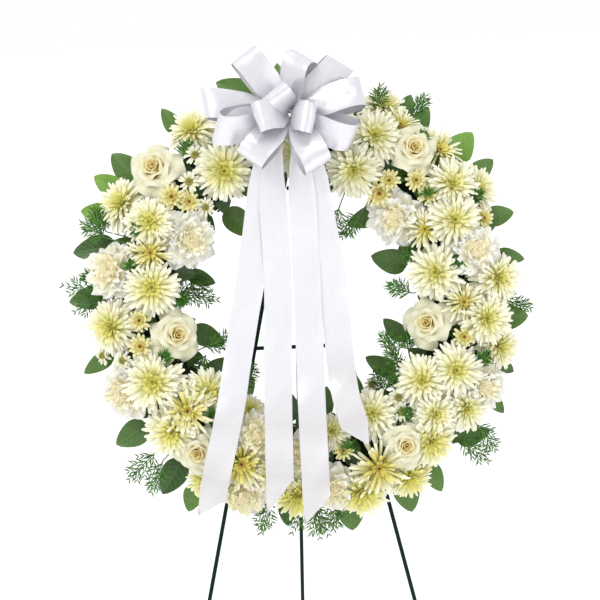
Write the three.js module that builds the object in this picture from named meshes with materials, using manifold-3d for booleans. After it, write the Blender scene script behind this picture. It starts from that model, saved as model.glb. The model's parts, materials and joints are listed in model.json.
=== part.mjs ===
// A white funeral wreath on a folding wire easel, in millimetres, +Z up, seen from -Y.
// A ring of floral foam in a plastic tray leans on the easel's two front legs. Roses, carnations,
// spray chrysanthemums and asters stand in the foam, with salal leaves and fern round its edges,
// and a satin bow with four streamers is picked into the top.
import * as THREE from "three";
import { mergeVertices } from "three/addons/utils/BufferGeometryUtils.js";
import Module from "manifold-3d";

const wasm = await Module();
wasm.setup();

// Driving dimensions
const EASEL_HEIGHT = 914;
const LEAN = THREE.MathUtils.degToRad(10); // the front legs lean back
const BACK_LEG_ANGLE = THREE.MathUtils.degToRad(17); // the back leg from upright
const WREATH_TURN = THREE.MathUtils.degToRad(1.8); // the wreath hangs a little clockwise
const WREATH_SHIFT = [4.5, 0, 3]; // and a little off the easel's middle
const WIRE = 2.5; // radius of the easel's wire
const GAP = 0.3; // between pieces that touch
const SLIVER = 0.15; // detail smaller than this is dropped from fused blooms
const LEG_SLOPE = 0.2225; // sideways run of a front leg for each unit down it
const LEG_CROSSING = 204; // where the legs' lines would cross, above the wreath's centre
const BEND_RADIUS = 9; // of the bend that joins the front legs
const HINGE_DROP = 60; // the hinge pin below that crossing
const CROSS_BAR_Z = -53;
const REST_X = 112; // half width of the lower rest, to its forward prongs
const RING_OUTER = 228;
const RING_INNER = 158;
const RING_SIDES = 24;
const FOAM_FRONT = -50;
const TRAY_BACK = 0;
const TRAY_LIP = -14;
const TRAY_WALL = 2;
const CORE_RADIUS = (RING_OUTER + RING_INNER) / 2; // centre of the ring's own section
const CORE_Y = -22;
const HEAD_STANDOFF = 64; // from the section's centre to a bloom's face
const LINK_STANDOFF = 46; // the same, to the stems that join the blooms of a spray
const STEM_TIP = 14; // the same, to a stem's cut end in the foam
const STEM = 2; // radius of a stem that stands in the foam
const HOLE_SLACK = 0.6;
const BRANCH = 1.5; // radius of the stems within a spray
const PETALS_BACK = -31; // no petal reaches further back
const PETALS_FRONT = -100.5; // nor further forward
const CELL_MARGIN = 0.5; // from a bloom to the plane midway to its neighbour
const LEAF_THICK = 0.9;
const LEAF_Y = -20;
const FERN_Y = -27.8;
const OUTER_TWIG = RING_OUTER + 5.5; // radius of the leafy stems round the outside
const INNER_TWIG = RING_INNER - 5.8;
const TWIG_END = 0.05; // of a turn, in radians, past the end leaves
const RIBBON_WIDTH = 36;
const RIBBON_THICK = 0.8;
const PICK_AT = [-20, 213]; // where the bow's pick leaves the blooms
const PICK_LENGTH = 100; // from the section's centre to the knot
const KNOT_RADIUS = 12;

// Places are [across, up] from the wreath's centre, as seen from the front, and sizes are radii.
const roses = [
  { at: [-180, 160], size: 31 },
  { at: [-156, -41], size: 31 },
  { at: [-131, -181], size: 28 },
  { at: [131, 181], size: 31 },
  { at: [148, -29], size: 30 },
  { at: [118, -176], size: 28 },
];
const carnations = [
  { at: [-138, 73], size: 30 },
  { at: [-236, 38], size: 30 },
  { at: [-220, -110], size: 29 },
  { at: [-56, -163], size: 28 },
  { at: [-76, -236], size: 28 },
  { at: [216, -107], size: 29 },
  { at: [206, 59], size: 28 },
  { at: [109, 97], size: 30 },
];
// Two small carnations branch from one stem.
const sprayCarnations = [[-4, -184, 24], [30, -229, 24]];
// The chrysanthemums of one spray share a node. A button is a small one, and its eye is brown.
const mumSprays = {
  mum_spray_01: { mums: [[-136, 208, 28], [-97, 155, 32], [-53, 214, 28], [-7, 178, 28]] },
  mum_spray_02: {
    mums: [[-222, 120, 31], [-187, 95, 28], [-186, 58, 22]],
    asters: [[-204, 60, 9], [-172, 88, 9]],
  },
  mum_spray_03: {
    mums: [[-185, 16, 31], [-235, -31, 30]],
    buttons: [[-200, -23, 12], [-199, -54, 13]],
    asters: [[-196, -74, 9], [-222, -71, 9], [-251, -66, 9]],
  },
  mum_spray_04: { mums: [[-184, -97, 33], [-162, -157, 31], [-143, -132, 28], [-119, -109, 27]] },
  mum_spray_05: { mums: [[-116, -217, 28], [-79, -196, 29], [-68, -130, 18]] },
  mum_spray_06: { mums: [[-13, -236, 28], [-36, -206, 26]] },
  mum_spray_07: {
    mums: [[67, -234, 31], [86, -203, 29], [125, -217, 27], [79, -137, 29], [30, -157, 22]],
    buttons: [[143, -204, 11], [43, -181, 11]],
  },
  mum_spray_08: {
    mums: [[139, -98, 31], [180, -86, 30], [155, -139, 26], [194, -133, 28], [150, -172, 29]],
    asters: [[110, -118, 10], [113, -135, 9], [101, -129, 9], [79, -100, 9]],
  },
  mum_spray_09: {
    mums: [[218, -24, 31], [190, -4, 20], [234, 25, 31], [236, -58, 27]],
    buttons: [[190, -46, 12]],
  },
  mum_spray_10: { mums: [[157, 32, 33], [180, 95, 31], [144, 84, 20]], buttons: [[218, 98, 12]] },
  mum_spray_11: {
    mums: [[179, 139, 31], [212, 137, 28], [166, 182, 24]],
    asters: [[161, 210, 10], [163, 197, 9]],
  },
  mum_spray_12: { mums: [[85, 198, 31], [118, 213, 20], [102, 236, 28], [59, 156, 32], [35, 216, 26]] },
};
const buttonSprays = {
  button_spray_left: [[-160, 125, 14], [-139, 119, 12]],
  button_spray_right: [[101, 143, 12], [90, 128, 16], [134, 143, 12], [149, 126, 12]],
};
const asterSprays = { aster_spray: [[-119, 112, 9], [-139, 143, 10], [-132, 176, 10]] };
// Leaves are [across, up, heading in degrees, length, width], joined in stems round the ring.
const leafStems = {
  outer_leaves_1: {
    twig: OUTER_TWIG,
    leaves: [[-35, 268, 95, 42, 20], [-79, 252, 156, 56, 30], [-161, 222, 125, 40, 24],
      [-218, 167, 135, 46, 36], [-239, 145, 148, 40, 30]],
  },
  outer_leaves_2: {
    twig: OUTER_TWIG,
    leaves: [[-252, 110, 172, 42, 30], [-256, 66, 190, 54, 36], [-264, 5, 190, 48, 32],
      [-252, -74, 215, 44, 24]],
  },
  outer_leaves_3: {
    twig: OUTER_TWIG,
    leaves: [[-212, -162, 212, 46, 36], [-163, -214, 240, 50, 36], [-138, -240, 252, 36, 28],
      [-22, -257, 268, 38, 28]],
  },
  outer_leaves_4: {
    twig: OUTER_TWIG,
    leaves: [[56, -262, 275, 42, 38], [126, -240, 285, 44, 36], [158, -218, 300, 42, 28],
      [209, -168, 20, 44, 24]],
  },
  outer_leaves_5: {
    twig: OUTER_TWIG,
    leaves: [[234, -126, 310, 38, 22], [243, -80, 330, 38, 26], [257, -22, 4, 42, 34],
      [256, 53, 350, 38, 22], [243, 104, 12, 38, 28]],
  },
  outer_leaves_6: {
    twig: OUTER_TWIG,
    leaves: [[222, 161, 40, 38, 28], [194, 187, 48, 54, 42], [146, 220, 60, 44, 28],
      [128, 237, 66, 38, 26]],
  },
  inner_leaves_1: { twig: INNER_TWIG, leaves: [[-86, 106, 318, 50, 34]] },
  inner_leaves_2: { twig: INNER_TWIG, leaves: [[-125, 29, 340, 36, 22], [-118, -43, 335, 46, 30]] },
  inner_leaves_3: { twig: INNER_TWIG, leaves: [[-106, -78, 30, 34, 20], [-70, -108, 62, 34, 20]] },
  inner_leaves_4: {
    twig: INNER_TWIG,
    leaves: [[-16, -132, 92, 34, 22], [26, -124, 85, 38, 22], [62, -104, 104, 36, 20]],
  },
  inner_leaves_5: { twig: INNER_TWIG, leaves: [[94, -80, 150, 42, 26], [112, -36, 135, 38, 24]] },
  inner_leaves_6: { twig: INNER_TWIG, leaves: [[106, 49, 165, 46, 34], [76, 101, 200, 46, 28]] },
};
// Fern fronds are [angle round the ring, heading, length], two to a stem.
const ferns = {
  fern_left: { inside: false, fronds: [[177, 172, 66], [177, 205, 56]] },
  fern_bottom: { inside: false, fronds: [[271, 248, 58], [271, 292, 62]] },
  fern_inner: { inside: true, fronds: [[176, 350, 50], [176, 20, 44]] },
};
// Each loop of the bow: its way in the picture, how far it stands to the front, its length and half depth.
const bowLoops = [
  { heading: 132, rise: 8, length: 84, open: 15 },
  { heading: 74, rise: 14, length: 72, open: 19 },
  { heading: 45, rise: 4, length: 86, open: 15 },
  { heading: 14, rise: 16, length: 92, open: 15 },
  { heading: 336, rise: 22, length: 88, open: 17 },
  { heading: 297, rise: 30, length: 84, open: 16 },
  { heading: 243, rise: 30, length: 78, open: 16 },
  { heading: 193, rise: 26, length: 92, open: 17 },
  { heading: 174, rise: 8, length: 96, open: 15 },
  { heading: 196, rise: 56, length: 62, open: 14 },
  { heading: 140, rise: 60, length: 52, open: 12 },
  { heading: 287, rise: 66, length: 48, open: 12 },
];
// Each streamer: the middle of its run as [across, depth, up], and how its end is cut.
const streamers = [
  {
    run: [[-45, -107.6, 188], [-50, -105.4, 151], [-67, -94, 23], [-84, -94, -80], [-91, -102.6, -124],
      [-112, -103.6, -222]],
    cut: [[-132, -102.4, -256], [-97, -102.4, -237]],
  },
  {
    run: [[-35, -109.8, 188], [-40, -107.2, 151], [-34, -96, 23], [-35, -97, -80], [-35, -103.4, -124],
      [-34, -104, -216]],
    cut: [[-50, -103, -256], [-17, -103, -212]],
  },
  {
    run: [[-9, -111.4, 188], [-6, -107.8, 151], [1, -96, 23], [4, -97, -80], [5, -103.4, -124],
      [9, -104, -222]],
    cut: [[-5, -103, -269], [26, -103, -234]],
  },
  {
    run: [[2, -107.6, 188], [9, -105.4, 151], [31, -94, 23], [41, -94, -80], [46, -101.8, -116],
      [56, -102.6, -150]],
    cut: [[45, -102.6, -158], [73, -102.6, -174]],
  },
];

const materials = {
  easel: new THREE.MeshStandardMaterial({ color: 0x12382b, roughness: 0.35, metalness: 0.3 }),
  tray: new THREE.MeshStandardMaterial({ color: 0x1f4a30, roughness: 0.6 }),
  foam: new THREE.MeshStandardMaterial({ color: 0x1d4a26, roughness: 1 }),
  tie: new THREE.MeshStandardMaterial({ color: 0x24402c, roughness: 0.5, metalness: 0.5 }),
  rose: new THREE.MeshStandardMaterial({ color: 0xf6ecd2, roughness: 0.6 }),
  carnation: new THREE.MeshStandardMaterial({ color: 0xfaf6ec, roughness: 0.7 }),
  mum: new THREE.MeshStandardMaterial({ color: 0xf4f2d4, roughness: 0.6 }),
  button: new THREE.MeshStandardMaterial({ color: 0xe6dd86, roughness: 0.6 }),
  aster: new THREE.MeshStandardMaterial({ color: 0xfbfbf6, roughness: 0.6 }),
  leaf: new THREE.MeshStandardMaterial({ color: 0x3c7a2c, roughness: 0.45 }),
  fern: new THREE.MeshStandardMaterial({ color: 0x3d7a3a, roughness: 0.7 }),
  ribbon: new THREE.MeshStandardMaterial({ color: 0xf7f6fa, roughness: 0.35 }),
};

const AXIS = new THREE.Vector3(0, 0, 1);
const TOWARDS_VIEWER = new THREE.Vector3(0, -1, 0);

function solidOf(geometry) {
  geometry.deleteAttribute("normal");
  geometry.deleteAttribute("uv");
  const merged = mergeVertices(geometry, 1e-3);
  return new wasm.Manifold(
    new wasm.Mesh({
      numProp: 3,
      vertProperties: merged.attributes.position.array,
      triVerts: new Uint32Array(merged.index.array),
    }),
  );
}

function joined(solids) {
  return solids.reduce((sum, solid) => sum.add(solid));
}

// The piece that holds together, without any pocket closed inside it or sliver along its seams.
function largestOf(solid) {
  return solid.decompose().sort((a, b) => b.volume() - a.volume())[0].simplify(SLIVER);
}

function meshOf(name, solid, material) {
  const { vertProperties, triVerts } = solid.getMesh();
  const geometry = new THREE.BufferGeometry()
    .setAttribute("position", new THREE.BufferAttribute(new Float32Array(vertProperties), 3))
    .setIndex(new THREE.BufferAttribute(new Uint32Array(triVerts), 1));
  geometry.computeVertexNormals();
  const mesh = new THREE.Mesh(geometry, material);
  mesh.name = name;
  return mesh;
}

// A closed surface through rings of points, from a first end to a last. Seen from the first end
// each ring runs anticlockwise. Rings may differ in how many points they have.
function ringSurface(first, rings, last) {
  const points = [first, ...rings.flat(), last];
  const faces = [];
  let start = 1;
  rings[0].forEach((_, i) => faces.push(0, 1 + i, 1 + ((i + 1) % rings[0].length)));
  for (let r = 0; r + 1 < rings.length; r++) {
    const upper = rings[r].length;
    const lower = rings[r + 1].length;
    const next = start + upper;
    let i = 0;
    let j = 0;
    while (i < upper || j < lower) {
      const a = start + (i % upper);
      const b = next + (j % lower);
      if (j < lower && (i === upper || (j + 1) / lower <= (i + 1) / upper)) {
        j++;
        faces.push(a, b, next + (j % lower));
      } else {
        i++;
        faces.push(a, b, start + (i % upper));
      }
    }
    start = next;
  }
  const sides = rings.at(-1).length;
  for (let i = 0; i < sides; i++) faces.push(points.length - 1, start + ((i + 1) % sides), start + i);
  return new THREE.BufferGeometry().setFromPoints(points).setIndex(faces);
}

// A round wire or stem along a run of points, mitred at its bends.
function rod(points, radius, sides) {
  const last = points.length - 1;
  let side = null;
  const rings = points.map((p, k) => {
    const before = p.clone().sub(points[Math.max(k - 1, 0)]).normalize();
    const after = points[Math.min(k + 1, last)].clone().sub(p).normalize();
    const along = before.clone().add(after).normalize();
    const start = Math.abs(along.x) < 0.9 ? new THREE.Vector3(1, 0, 0) : new THREE.Vector3(0, 0, 1);
    side = (side ?? start).clone().addScaledVector(along, -(side ?? start).dot(along)).normalize();
    const other = along.clone().cross(side);
    const stretch = k && k < last ? 1 / Math.max(before.dot(along), 0.5) : 1;
    return Array.from({ length: sides }, (_, i) => {
      const turn = (-2 * Math.PI * i) / sides;
      return p.clone()
        .addScaledVector(side, radius * stretch * Math.cos(turn))
        .addScaledVector(other, radius * stretch * Math.sin(turn));
    });
  });
  return solidOf(ringSurface(points[0], rings, points[last]));
}

// Where a bloom seen at [across, up] sits: it faces away from the middle of the ring's section.
function placeOf([x, z]) {
  const radius = Math.hypot(x, z);
  const outward = new THREE.Vector3(x / radius, 0, z / radius);
  const lean = Math.asin(THREE.MathUtils.clamp((radius - CORE_RADIUS) / (HEAD_STANDOFF + 2), -0.96, 0.96));
  const facing = outward.clone().multiplyScalar(Math.sin(lean)).addScaledVector(TOWARDS_VIEWER, Math.cos(lean));
  const core = outward.clone().multiplyScalar(CORE_RADIUS).setY(CORE_Y);
  return { core, facing, centre: core.clone().addScaledVector(facing, HEAD_STANDOFF) };
}

const heads = [];

function addHead(node, at, radius, shape) {
  const head = { node, radius, shape, ...placeOf(at), walls: [] };
  head.turn = heads.length * 2.4; // no two neighbours are turned alike
  heads.push(head);
  return head;
}

// Planes that keep each bloom clear of its neighbours: midway, or nearer to a small one.
function setWalls() {
  for (const head of heads) {
    const toBack = new THREE.Vector3(0, 1, 0);
    head.walls.push({ way: toBack, reach: PETALS_BACK - head.centre.y });
    head.walls.push({ way: TOWARDS_VIEWER, reach: head.centre.y - PETALS_FRONT });
    for (const other of heads) {
      if (other === head) continue;
      const way = other.centre.clone().sub(head.centre);
      const distance = way.length();
      if (distance > head.radius + other.radius + 12) continue;
      const mine = head.radius <= other.radius
        ? Math.min(head.radius, distance / 2)
        : distance - Math.min(other.radius, distance / 2);
      head.walls.push({ way: way.normalize(), reach: mine - CELL_MARGIN });
    }
  }
}

// A point of a bloom, [turn, out, up] on its own axis, drawn in until no wall cuts it off.
function petalPoint(head, turn, out, up) {
  const basis = new THREE.Quaternion().setFromUnitVectors(AXIS, head.facing);
  const along = new THREE.Vector3(Math.cos(turn), Math.sin(turn), 0).applyQuaternion(basis);
  let reach = out;
  for (const wall of head.walls) {
    const slope = along.dot(wall.way);
    if (slope > 1e-3) reach = Math.min(reach, (wall.reach - up * head.facing.dot(wall.way)) / slope);
  }
  reach = Math.max(reach, Math.min(out, 1.2));
  return head.centre.clone().addScaledVector(head.facing, up).addScaledVector(along, reach);
}

// Bloom profiles: each ring is [out, up] at the petals, or [out, up, out at a notch, up at a notch],
// in radii of the bloom.
const profiles = {
  mum: { petals: 7, top: 0.28, rings: [[0.22, 0.24], [0.44, 0.08, 0.7, 0.24], [1, 0.0, 0.7, -0.08]] },
  button: { petals: 6, top: 0.42, rings: [[0.34, 0.4], [1, 0.12, 0.7, 0]] },
  aster: { petals: 5, top: 0.4, rings: [[0.42, 0.34], [1, 0.05, 0.7, -0.05]] },
  carnation: {
    petals: 6, top: 0.42,
    rings: [[0.26, 0.5], [0.44, 0.3, 0.54, 0.42], [0.72, 0.3, 0.66, 0.12], [1, 0.02, 0.84, -0.1]],
  },
  rose: {
    petals: 6, top: 0.32,
    rings: [[0.2, 0.46], [0.24, 0.24], [0.46, 0.42, 0.42, 0.34], [0.5, 0.12], [0.78, 0.26, 0.68, 0.16],
      [1, -0.02, 0.88, -0.08]],
  },
};

function headSolid(head) {
  const { petals, top, rings } = profiles[head.shape];
  const made = rings.map(([out, up, notchOut, notchUp], k) => {
    const points = petals * (notchOut === undefined ? 1 : 2);
    return Array.from({ length: points }, (_, i) => {
      const tip = points === petals || i % 2 === 0;
      const turn = head.turn + (2 * Math.PI * i) / points + (head.shape === "rose" ? k * 0.35 : 0);
      return petalPoint(head, turn, head.radius * (tip ? out : notchOut), head.radius * (tip ? up : notchUp));
    });
  });
  const neck = Math.min(0.42 * head.radius, HEAD_STANDOFF - LINK_STANDOFF - 3);
  made.push(Array.from({ length: 4 }, (_, i) => petalPoint(head, head.turn + (Math.PI * i) / 2, 3.4, -neck)));
  const crown = petalPoint(head, 0, 0, head.radius * top);
  const foot = head.core.clone().addScaledVector(head.facing, LINK_STANDOFF - 5);
  return solidOf(ringSurface(crown, made, foot));
}

const footOf = (head) => head.core.clone().addScaledVector(head.facing, LINK_STANDOFF);

const foamHoles = [];

// A stem from a bloom down into its hole in the foam.
function standingStem(head) {
  const tip = head.core.clone().addScaledVector(head.facing, STEM_TIP);
  const below = head.core.clone().addScaledVector(head.facing, STEM_TIP - HOLE_SLACK);
  foamHoles.push(rod([below, head.centre], STEM + 2 * HOLE_SLACK, 3));
  return rod([tip, head.core.clone().addScaledVector(head.facing, LINK_STANDOFF)], STEM, 3);
}

// The blooms of one spray, the branches that join them, and the stem that stands in the foam.
function spraySolid(members) {
  const solids = members.map(headSolid);
  members.forEach((head, k) => {
    if (!k) return;
    const nearest = members.slice(0, k).sort(
      (a, b) => a.centre.distanceTo(head.centre) - b.centre.distanceTo(head.centre))[0];
    solids.push(rod([footOf(head), footOf(nearest)], BRANCH, 3));
  });
  solids.push(standingStem(members[0]));
  return joined(solids);
}

// A leaf from its base at the origin along +X, its upper side to +Z, with a stalk behind its base.
function leafBlade(length, width, stalk) {
  const outline = [[-stalk, 0.8], [0, 0.8], [0.3 * length, 0.46 * width], [0.7 * length, 0.4 * width]];
  const point = ([x, y], side) => new THREE.Vector3(x, side * y, x > 0 ? -0.1 * x * (x / length) : 0);
  const upper = [...outline.map((p) => point(p, 1)), point([length, 0], 0), ...outline.map((p) => point(p, -1)).reverse()];
  const count = upper.length;
  const lower = upper.map((p) => p.clone().setZ(p.z - LEAF_THICK));
  const top = [3, 5, 4];
  for (let k = 0; k < 3; k++) top.push(k, 8 - k, 7 - k, k, 7 - k, k + 1);
  const faces = [...top];
  for (let i = 0; i < top.length; i += 3) faces.push(top[i] + count, top[i + 2] + count, top[i + 1] + count);
  for (let a = 0; a < count; a++) {
    const b = (a + 1) % count;
    faces.push(a, b, a + count, b, b + count, a + count);
  }
  return new THREE.BufferGeometry().setFromPoints([...upper, ...lower]).setIndex(faces);
}

// The frame of a leaf or frond that lies in the wreath's plane.
function flatFrame(base, heading) {
  const along = new THREE.Vector3(Math.cos(heading), 0, Math.sin(heading));
  return new THREE.Matrix4()
    .makeBasis(along, TOWARDS_VIEWER.clone().cross(along), TOWARDS_VIEWER)
    .setPosition(base);
}

const onRing = (radius, turn, y) => new THREE.Vector3(radius * Math.cos(turn), y, radius * Math.sin(turn));

function leafStemSolid({ twig, leaves }) {
  const outside = twig > CORE_RADIUS;
  const solids = [];
  const turns = [];
  leaves.forEach(([x, z, degrees, length, width], k) => {
    const heading = THREE.MathUtils.degToRad(degrees);
    const base = new THREE.Vector3(x - (Math.cos(heading) * length) / 2, 0, z - (Math.sin(heading) * length) / 2);
    const radius = base.length();
    const kept = outside ? Math.max(radius, twig + 4) : Math.min(radius, twig - 4);
    base.multiplyScalar(kept / radius).setY(LEAF_Y + (k % 2) * 2.4);
    const stalk = Math.abs(kept - twig);
    const turn = Math.atan2(base.z, base.x);
    turns.push(turn < 0 ? turn + 2 * Math.PI : turn);
    const joint = onRing(twig, turn, LEAF_Y);
    const blade = leafBlade(length, width, stalk).applyMatrix4(flatFrame(base, heading));
    // The stalk bends from the blade's own heading to meet the twig.
    const corners = blade.attributes.position;
    for (const i of [0, 8, 9, 17]) {
      const side = i % 9 === 0 ? 0.8 : -0.8;
      const spread = new THREE.Vector3(-Math.sin(turn), 0, Math.cos(turn)).multiplyScalar(outside ? side : -side);
      const y = joint.y + (i > 8 ? LEAF_THICK : 0) - LEAF_THICK / 2;
      corners.setXYZ(i, joint.x + spread.x, y, joint.z + spread.z);
    }
    solids.push(solidOf(blade));
  });
  // The twig runs a little past its first and last leaves, over the turn's seam where it must.
  const seam = Math.max(...turns) - Math.min(...turns) > Math.PI;
  const along = turns.map((turn) => (seam && turn < Math.PI ? turn + 2 * Math.PI : turn));
  const first = Math.min(...along) - TWIG_END;
  const last = Math.max(...along) + TWIG_END;
  const middle = (first + last) / 2;
  const stops = [first, ...along, middle, last].sort((p, q) => p - q);
  const arc = stops.flatMap((turn, k) => {
    const gap = k ? turn - stops[k - 1] : 0;
    if (k && gap < 0.02) return [];
    const count = Math.max(1, Math.ceil(gap / 0.3));
    return Array.from({ length: count }, (_, i) => onRing(twig, turn - (gap * (count - 1 - i)) / count, LEAF_Y));
  });
  solids.push(rod(arc, 1.2 * BRANCH, 3));
  const way = outside ? -1 : 1;
  const root = onRing(twig - way * 2, middle, LEAF_Y);
  solids.push(rod([root, onRing(twig + way * 20, middle, LEAF_Y)], BRANCH, 3));
  foamHoles.push(rod([root, onRing(twig + way * 20.6, middle, LEAF_Y)], BRANCH + 2 * HOLE_SLACK, 3));
  return joined(solids);
}

// A frond's leaflets, cut to the rib in one thin outline.
function frondBlade(length) {
  const pairs = 4;
  const points = [];
  for (const side of [1, -1]) {
    for (let k = 0; k < pairs; k++) {
      const step = side > 0 ? k : pairs - 1 - k;
      const root = length * (0.16 + (0.74 * step) / pairs);
      const reach = length * 0.3 * (1 - 0.6 * (step / pairs));
      const notch = [root, side * 1.1];
      const tip = [root + reach * 0.75, side * reach];
      const after = [root + length * 0.07, side * 1.1];
      points.push(...(side > 0 ? [notch, tip, after] : [after, tip, notch]));
    }
    if (side > 0) points.push([length, 0]);
  }
  points.push([0, -1.1], [0, 1.1]);
  const shape = new THREE.Shape(points.map(([x, y]) => new THREE.Vector2(x, y)));
  return new THREE.ExtrudeGeometry(shape, { depth: LEAF_THICK, bevelEnabled: false });
}

function fernSolid({ inside, fronds }) {
  const surface = inside ? RING_INNER - 3 : RING_OUTER + 3;
  const turn = THREE.MathUtils.degToRad(fronds[0][0]);
  const root = onRing(surface, turn, FERN_Y);
  const solids = fronds.map(([, degrees, length]) => {
    const blade = frondBlade(length);
    const place = flatFrame(root.clone().setY(FERN_Y + LEAF_THICK / 2), THREE.MathUtils.degToRad(degrees));
    return solidOf(blade.applyMatrix4(place));
  });
  const way = inside ? 1 : -1;
  solids.push(rod([onRing(surface - way * 3, turn, FERN_Y), onRing(surface + way * 20, turn, FERN_Y)], BRANCH, 4));
  foamHoles.push(rod([root, onRing(surface + way * 20.6, turn, FERN_Y)], BRANCH + HOLE_SLACK + 0.2, 4));
  return joined(solids);
}

// Ribbon through sections that each give their middle, their way across and their half width.
function ribbonSolid(sections) {
  const rings = sections.map(({ middle, across, half }, k) => {
    const before = sections[Math.max(k - 1, 0)].middle;
    const after = sections[Math.min(k + 1, sections.length - 1)].middle;
    const face = after.clone().sub(before).cross(across).normalize().multiplyScalar(RIBBON_THICK / 2);
    const side = across.clone().multiplyScalar(half);
    const left = middle.clone().sub(side);
    const right = middle.clone().add(side);
    return [left.clone().sub(face), left.clone().add(face), right.clone().add(face), right.clone().sub(face)];
  });
  return solidOf(ringSurface(sections[0].middle, rings, sections.at(-1).middle));
}

function loopSolid({ heading, rise, length, open }) {
  const way = THREE.MathUtils.degToRad(heading);
  const up = THREE.MathUtils.degToRad(rise);
  const flat = new THREE.Vector3(Math.cos(way), 0, Math.sin(way));
  const out = flat.clone().multiplyScalar(Math.cos(up)).addScaledVector(TOWARDS_VIEWER, Math.sin(up));
  const across = TOWARDS_VIEWER.clone().cross(flat).normalize();
  const opening = across.clone().cross(out);
  const steps = 5;
  const start = Math.acos(1 - (1.4 * KNOT_RADIUS) / length); // just inside the knot
  const sections = Array.from({ length: steps + 1 }, (_, i) => {
    const turn = start + ((2 * Math.PI - 2 * start) * i) / steps;
    const along = (1 - Math.cos(turn)) / 2;
    const middle = knot.clone()
      .addScaledVector(out, length * along)
      .addScaledVector(opening, open * Math.sin(turn) * along ** 0.3);
    return { middle, across, half: (RIBBON_WIDTH / 2) * Math.min(1, 1.6 * along) };
  });
  return ribbonSolid(sections);
}

// A streamer leaves the knot gathered narrow and spreads to its full width.
function streamerSolid({ run, cut }, index) {
  const fan = THREE.MathUtils.degToRad(-100 - 44 + 30 * index + 8);
  const start = knot.clone().add(
    new THREE.Vector3(Math.cos(fan), index % 3 ? 0.5 : 0.9, Math.sin(fan)).setLength(KNOT_RADIUS + GAP));
  const line = new THREE.CatmullRomCurve3(
    [start, ...run.map((p) => new THREE.Vector3(...p))], false, "centripetal");
  const steps = 10;
  const sections = line.getSpacedPoints(steps).map((middle, k) => {
    const along = line.getTangentAt(k / steps);
    const across = TOWARDS_VIEWER.clone().cross(along).normalize();
    return { middle, across, half: (RIBBON_WIDTH / 2) * [0.12, 0.66, 0.92][Math.min(k, 2)] };
  });
  const [a, b] = cut.map((p) => new THREE.Vector3(...p));
  const width = a.clone().sub(b);
  const ahead = line.getTangentAt(1);
  const facingLeft = TOWARDS_VIEWER.clone().cross(ahead).dot(width) < 0;
  sections.push({
    middle: a.clone().add(b).multiplyScalar(0.5),
    across: (facingLeft ? width.clone().negate() : width.clone()).normalize(),
    half: width.length() / 2,
  });
  return ribbonSolid(sections);
}

function ringSolid(profile) {
  const points = [...profile, profile[0]].map(([radius, y]) => new THREE.Vector2(radius, y));
  return solidOf(new THREE.LatheGeometry(points, RING_SIDES));
}

function foamSolid() {
  const back = TRAY_BACK - TRAY_WALL - 2 * GAP - 0.1;
  return ringSolid([
    [RING_INNER, back], [RING_OUTER, back], [RING_OUTER, -35], [RING_OUTER - 19, FOAM_FRONT],
    [RING_INNER + 19, FOAM_FRONT], [RING_INNER, -35],
  ].reverse());
}

function traySolid() {
  const outer = RING_OUTER + GAP;
  const inner = RING_INNER - GAP;
  const floor = TRAY_BACK - TRAY_WALL;
  return ringSolid([
    [inner - TRAY_WALL, TRAY_BACK], [outer + TRAY_WALL, TRAY_BACK], [outer + TRAY_WALL, TRAY_LIP],
    [outer, TRAY_LIP], [outer, floor], [inner, floor], [inner, TRAY_LIP], [inner - TRAY_WALL, TRAY_LIP],
  ].reverse());
}

// The easel's front frame is drawn in the plane of its legs, whose wire runs just behind the tray.
const LEG_Y = TRAY_BACK + GAP + WIRE;
const BAR_Y = LEG_Y + 2 * WIRE + GAP;
const legX = (z) => (LEG_CROSSING - z) * LEG_SLOPE;
const slopeAngle = Math.atan(LEG_SLOPE);
const bendZ = LEG_CROSSING - BEND_RADIUS / Math.sin(slopeAngle);
const wreathHeight = EASEL_HEIGHT - (bendZ + BEND_RADIUS + WIRE) * Math.cos(LEAN);
const toEasel = new THREE.Matrix4()
  .makeRotationX(-LEAN)
  .setPosition(0, 0, wreathHeight);
const onEasel = new THREE.Matrix4().makeRotationY(WREATH_TURN).setPosition(...WREATH_SHIFT);
const toWreath = toEasel.clone().multiply(onEasel);
const inEasel = (x, y, z) => new THREE.Vector3(x, y, z).applyMatrix4(toEasel);
const easelToWreath = onEasel.clone().invert();

function aboveFloor(solid) {
  const slab = new THREE.BoxGeometry(2000, 2000, 100).translate(0, 0, -50);
  return solid.subtract(solidOf(slab));
}

function frontFrameSolid() {
  const footZ = -(wreathHeight + 20) / Math.cos(LEAN);
  const points = [inEasel(-legX(footZ), LEG_Y, footZ)];
  const bendSteps = 6;
  for (let i = 0; i <= bendSteps; i++) {
    const turn = Math.PI - slopeAngle + ((2 * slopeAngle - Math.PI) * i) / bendSteps;
    points.push(inEasel(Math.cos(turn) * BEND_RADIUS, LEG_Y, bendZ + Math.sin(turn) * BEND_RADIUS));
  }
  points.push(inEasel(legX(footZ), LEG_Y, footZ));
  return aboveFloor(rod(points, WIRE, 8));
}

const hinge = inEasel(0, LEG_Y, LEG_CROSSING - HINGE_DROP);

function backLegSolid() {
  const eyeRadius = 2 * WIRE + GAP;
  const eye = new THREE.TorusGeometry(eyeRadius, WIRE, 5, 12).rotateY(Math.PI / 2).translate(...hinge);
  const down = new THREE.Vector3(0, Math.sin(BACK_LEG_ANGLE), -Math.cos(BACK_LEG_ANGLE));
  const start = hinge.clone().addScaledVector(down, eyeRadius);
  const foot = hinge.clone().addScaledVector(down, (hinge.z + 20) / Math.cos(BACK_LEG_ANGLE));
  return aboveFloor(solidOf(eye).add(rod([start, foot], WIRE, 8)));
}

function hingePinSolid() {
  const half = legX(LEG_CROSSING - HINGE_DROP) - WIRE / Math.cos(slopeAngle) - WIRE * LEG_SLOPE - GAP;
  return rod([hinge.clone().setX(-half), hinge.clone().setX(half)], WIRE, 8);
}

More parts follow.
